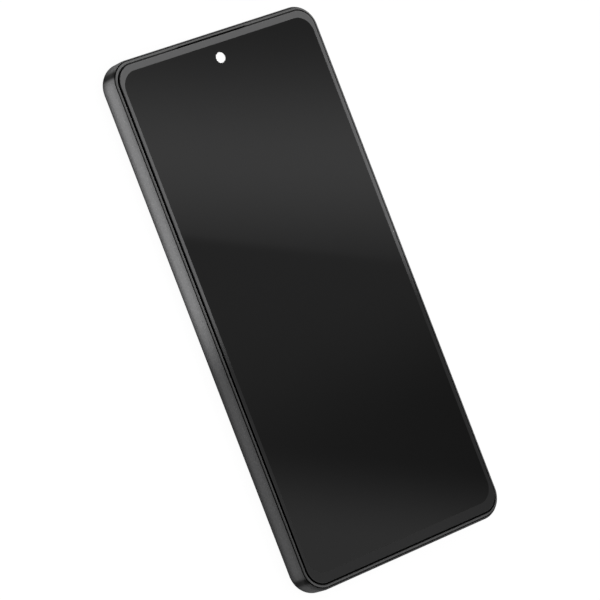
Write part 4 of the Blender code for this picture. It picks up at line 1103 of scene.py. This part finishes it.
        # The back round lies in shade, and of the ends only a part is lit
        back_shade = 2.6 * MM
        self.flag(side, back_shade + MM)
        for light in (right, far, near):
            self.flag(light, back_shade)
        self.flag(far, 7.2 * MM, passes=0.3)
        self.flag(near, 6.4 * MM, way=1)
        self.board("left_board", (3, 3), facing((-1.2, 0, 1.45), (1, 0, 0)), 0.3)
        self.board("right_board", (2, 0.35), facing((0.6, 0, 0.12), (-1, 0, 0)), 0.15)

    def card(self, studio, right, up, ahead):
        """The card that the screen mirrors to the camera, with soft bands of light in its own plane."""
        reach, size = 1.6, (0.8, 0.8)
        across, along, away = (Vector((axis.x, axis.y, -axis.z)) for axis in (right, up, ahead))
        middle = Vector((0, 0, GLASS_BOX[1].z)) + away * reach
        turn = Matrix((across, along, across.cross(along))).transposed().to_4x4()

        def shader(wire):
            place = wire.node("TexCoord", output="Object")
            x, y = place.axis("X"), place.axis("Y")
            falling, rising = y + x * 0.113, y - x * 0.387
            # A broad glow above a slanting edge
            dim, glow, peak, spread = 0.262, 0.634, 0.101, 0.065
            from_peak = (y - peak) / spread
            upper = dim + glow * (0 - from_peak * from_peak).math("EXPONENT")
            # Below it a plain grey that dips, more to the right, and is lightest at its foot
            plain, foot, dip = 0.356, 0.255, 0.118 + 0.37 * x
            dark = dip * rising.step(-0.0125, -0.12)
            lower = plain - dark + (foot + dip) * falling.step(-0.107, -0.174)
            light = lower + falling.step(0.030, 0.037) * (upper - lower)
            return wire.node("Emission", values={"Strength": light * studio.card})

        self.sheet("mirror_card", size, Matrix.Translation(middle) @ turn, ("camera", "diffuse", "shadow"),
                   shader)


class PHONE_PT_looks(bpy.types.Panel):
    """Lists the phone's pieces and their sizes and colours"""

    bl_idname = "PHONE_PT_looks"
    bl_label = "Smartphone"
    bl_space_type = "VIEW_3D"
    bl_region_type = "UI"
    bl_category = "Phone"

    def draw(self, context):
        scene = context.scene
        for operator in OPERATORS:
            self.layout.operator(operator.bl_idname)
        for group in (scene.phone_sizes, scene.phone_colours, scene.phone_studio):
            box = self.layout.box()
            for name in group.__annotations__:
                box.prop(group, name)


GROUPS = {"phone_sizes": PhoneSizes, "phone_colours": PhoneColours, "phone_studio": PhoneStudio}
OPERATORS = (PHONE_OT_side_band, PHONE_OT_front_rim, PHONE_OT_cover_glass, PHONE_OT_rear_cover,
             PHONE_OT_camera_island, PHONE_OT_lens_windows, PHONE_OT_rear_cameras, PHONE_OT_keys,
             PHONE_OT_card_tray, PHONE_OT_socket, PHONE_OT_inside, PHONE_OT_stage)
CLASSES = (*GROUPS.values(), *OPERATORS, PHONE_PT_looks)


def register():
    for kind in CLASSES:
        bpy.utils.register_class(kind)
    for name, group in GROUPS.items():
        setattr(bpy.types.Scene, name, bpy.props.PointerProperty(type=group))


def unregister():
    for name in GROUPS:
        delattr(bpy.types.Scene, name)
    for kind in reversed(CLASSES):
        bpy.utils.unregister_class(kind)


def main():
    register()
    bpy.ops.phone.side_band()
    bpy.ops.phone.front_rim()
    bpy.ops.phone.cover_glass()
    bpy.ops.phone.rear_cover()
    bpy.ops.phone.camera_island()
    bpy.ops.phone.lens_windows()
    bpy.ops.phone.rear_cameras()
    bpy.ops.phone.keys()
    bpy.ops.phone.card_tray()
    bpy.ops.phone.socket()
    bpy.ops.phone.inside()
    bpy.ops.phone.stage()


if __name__ == "__main__":
    main()
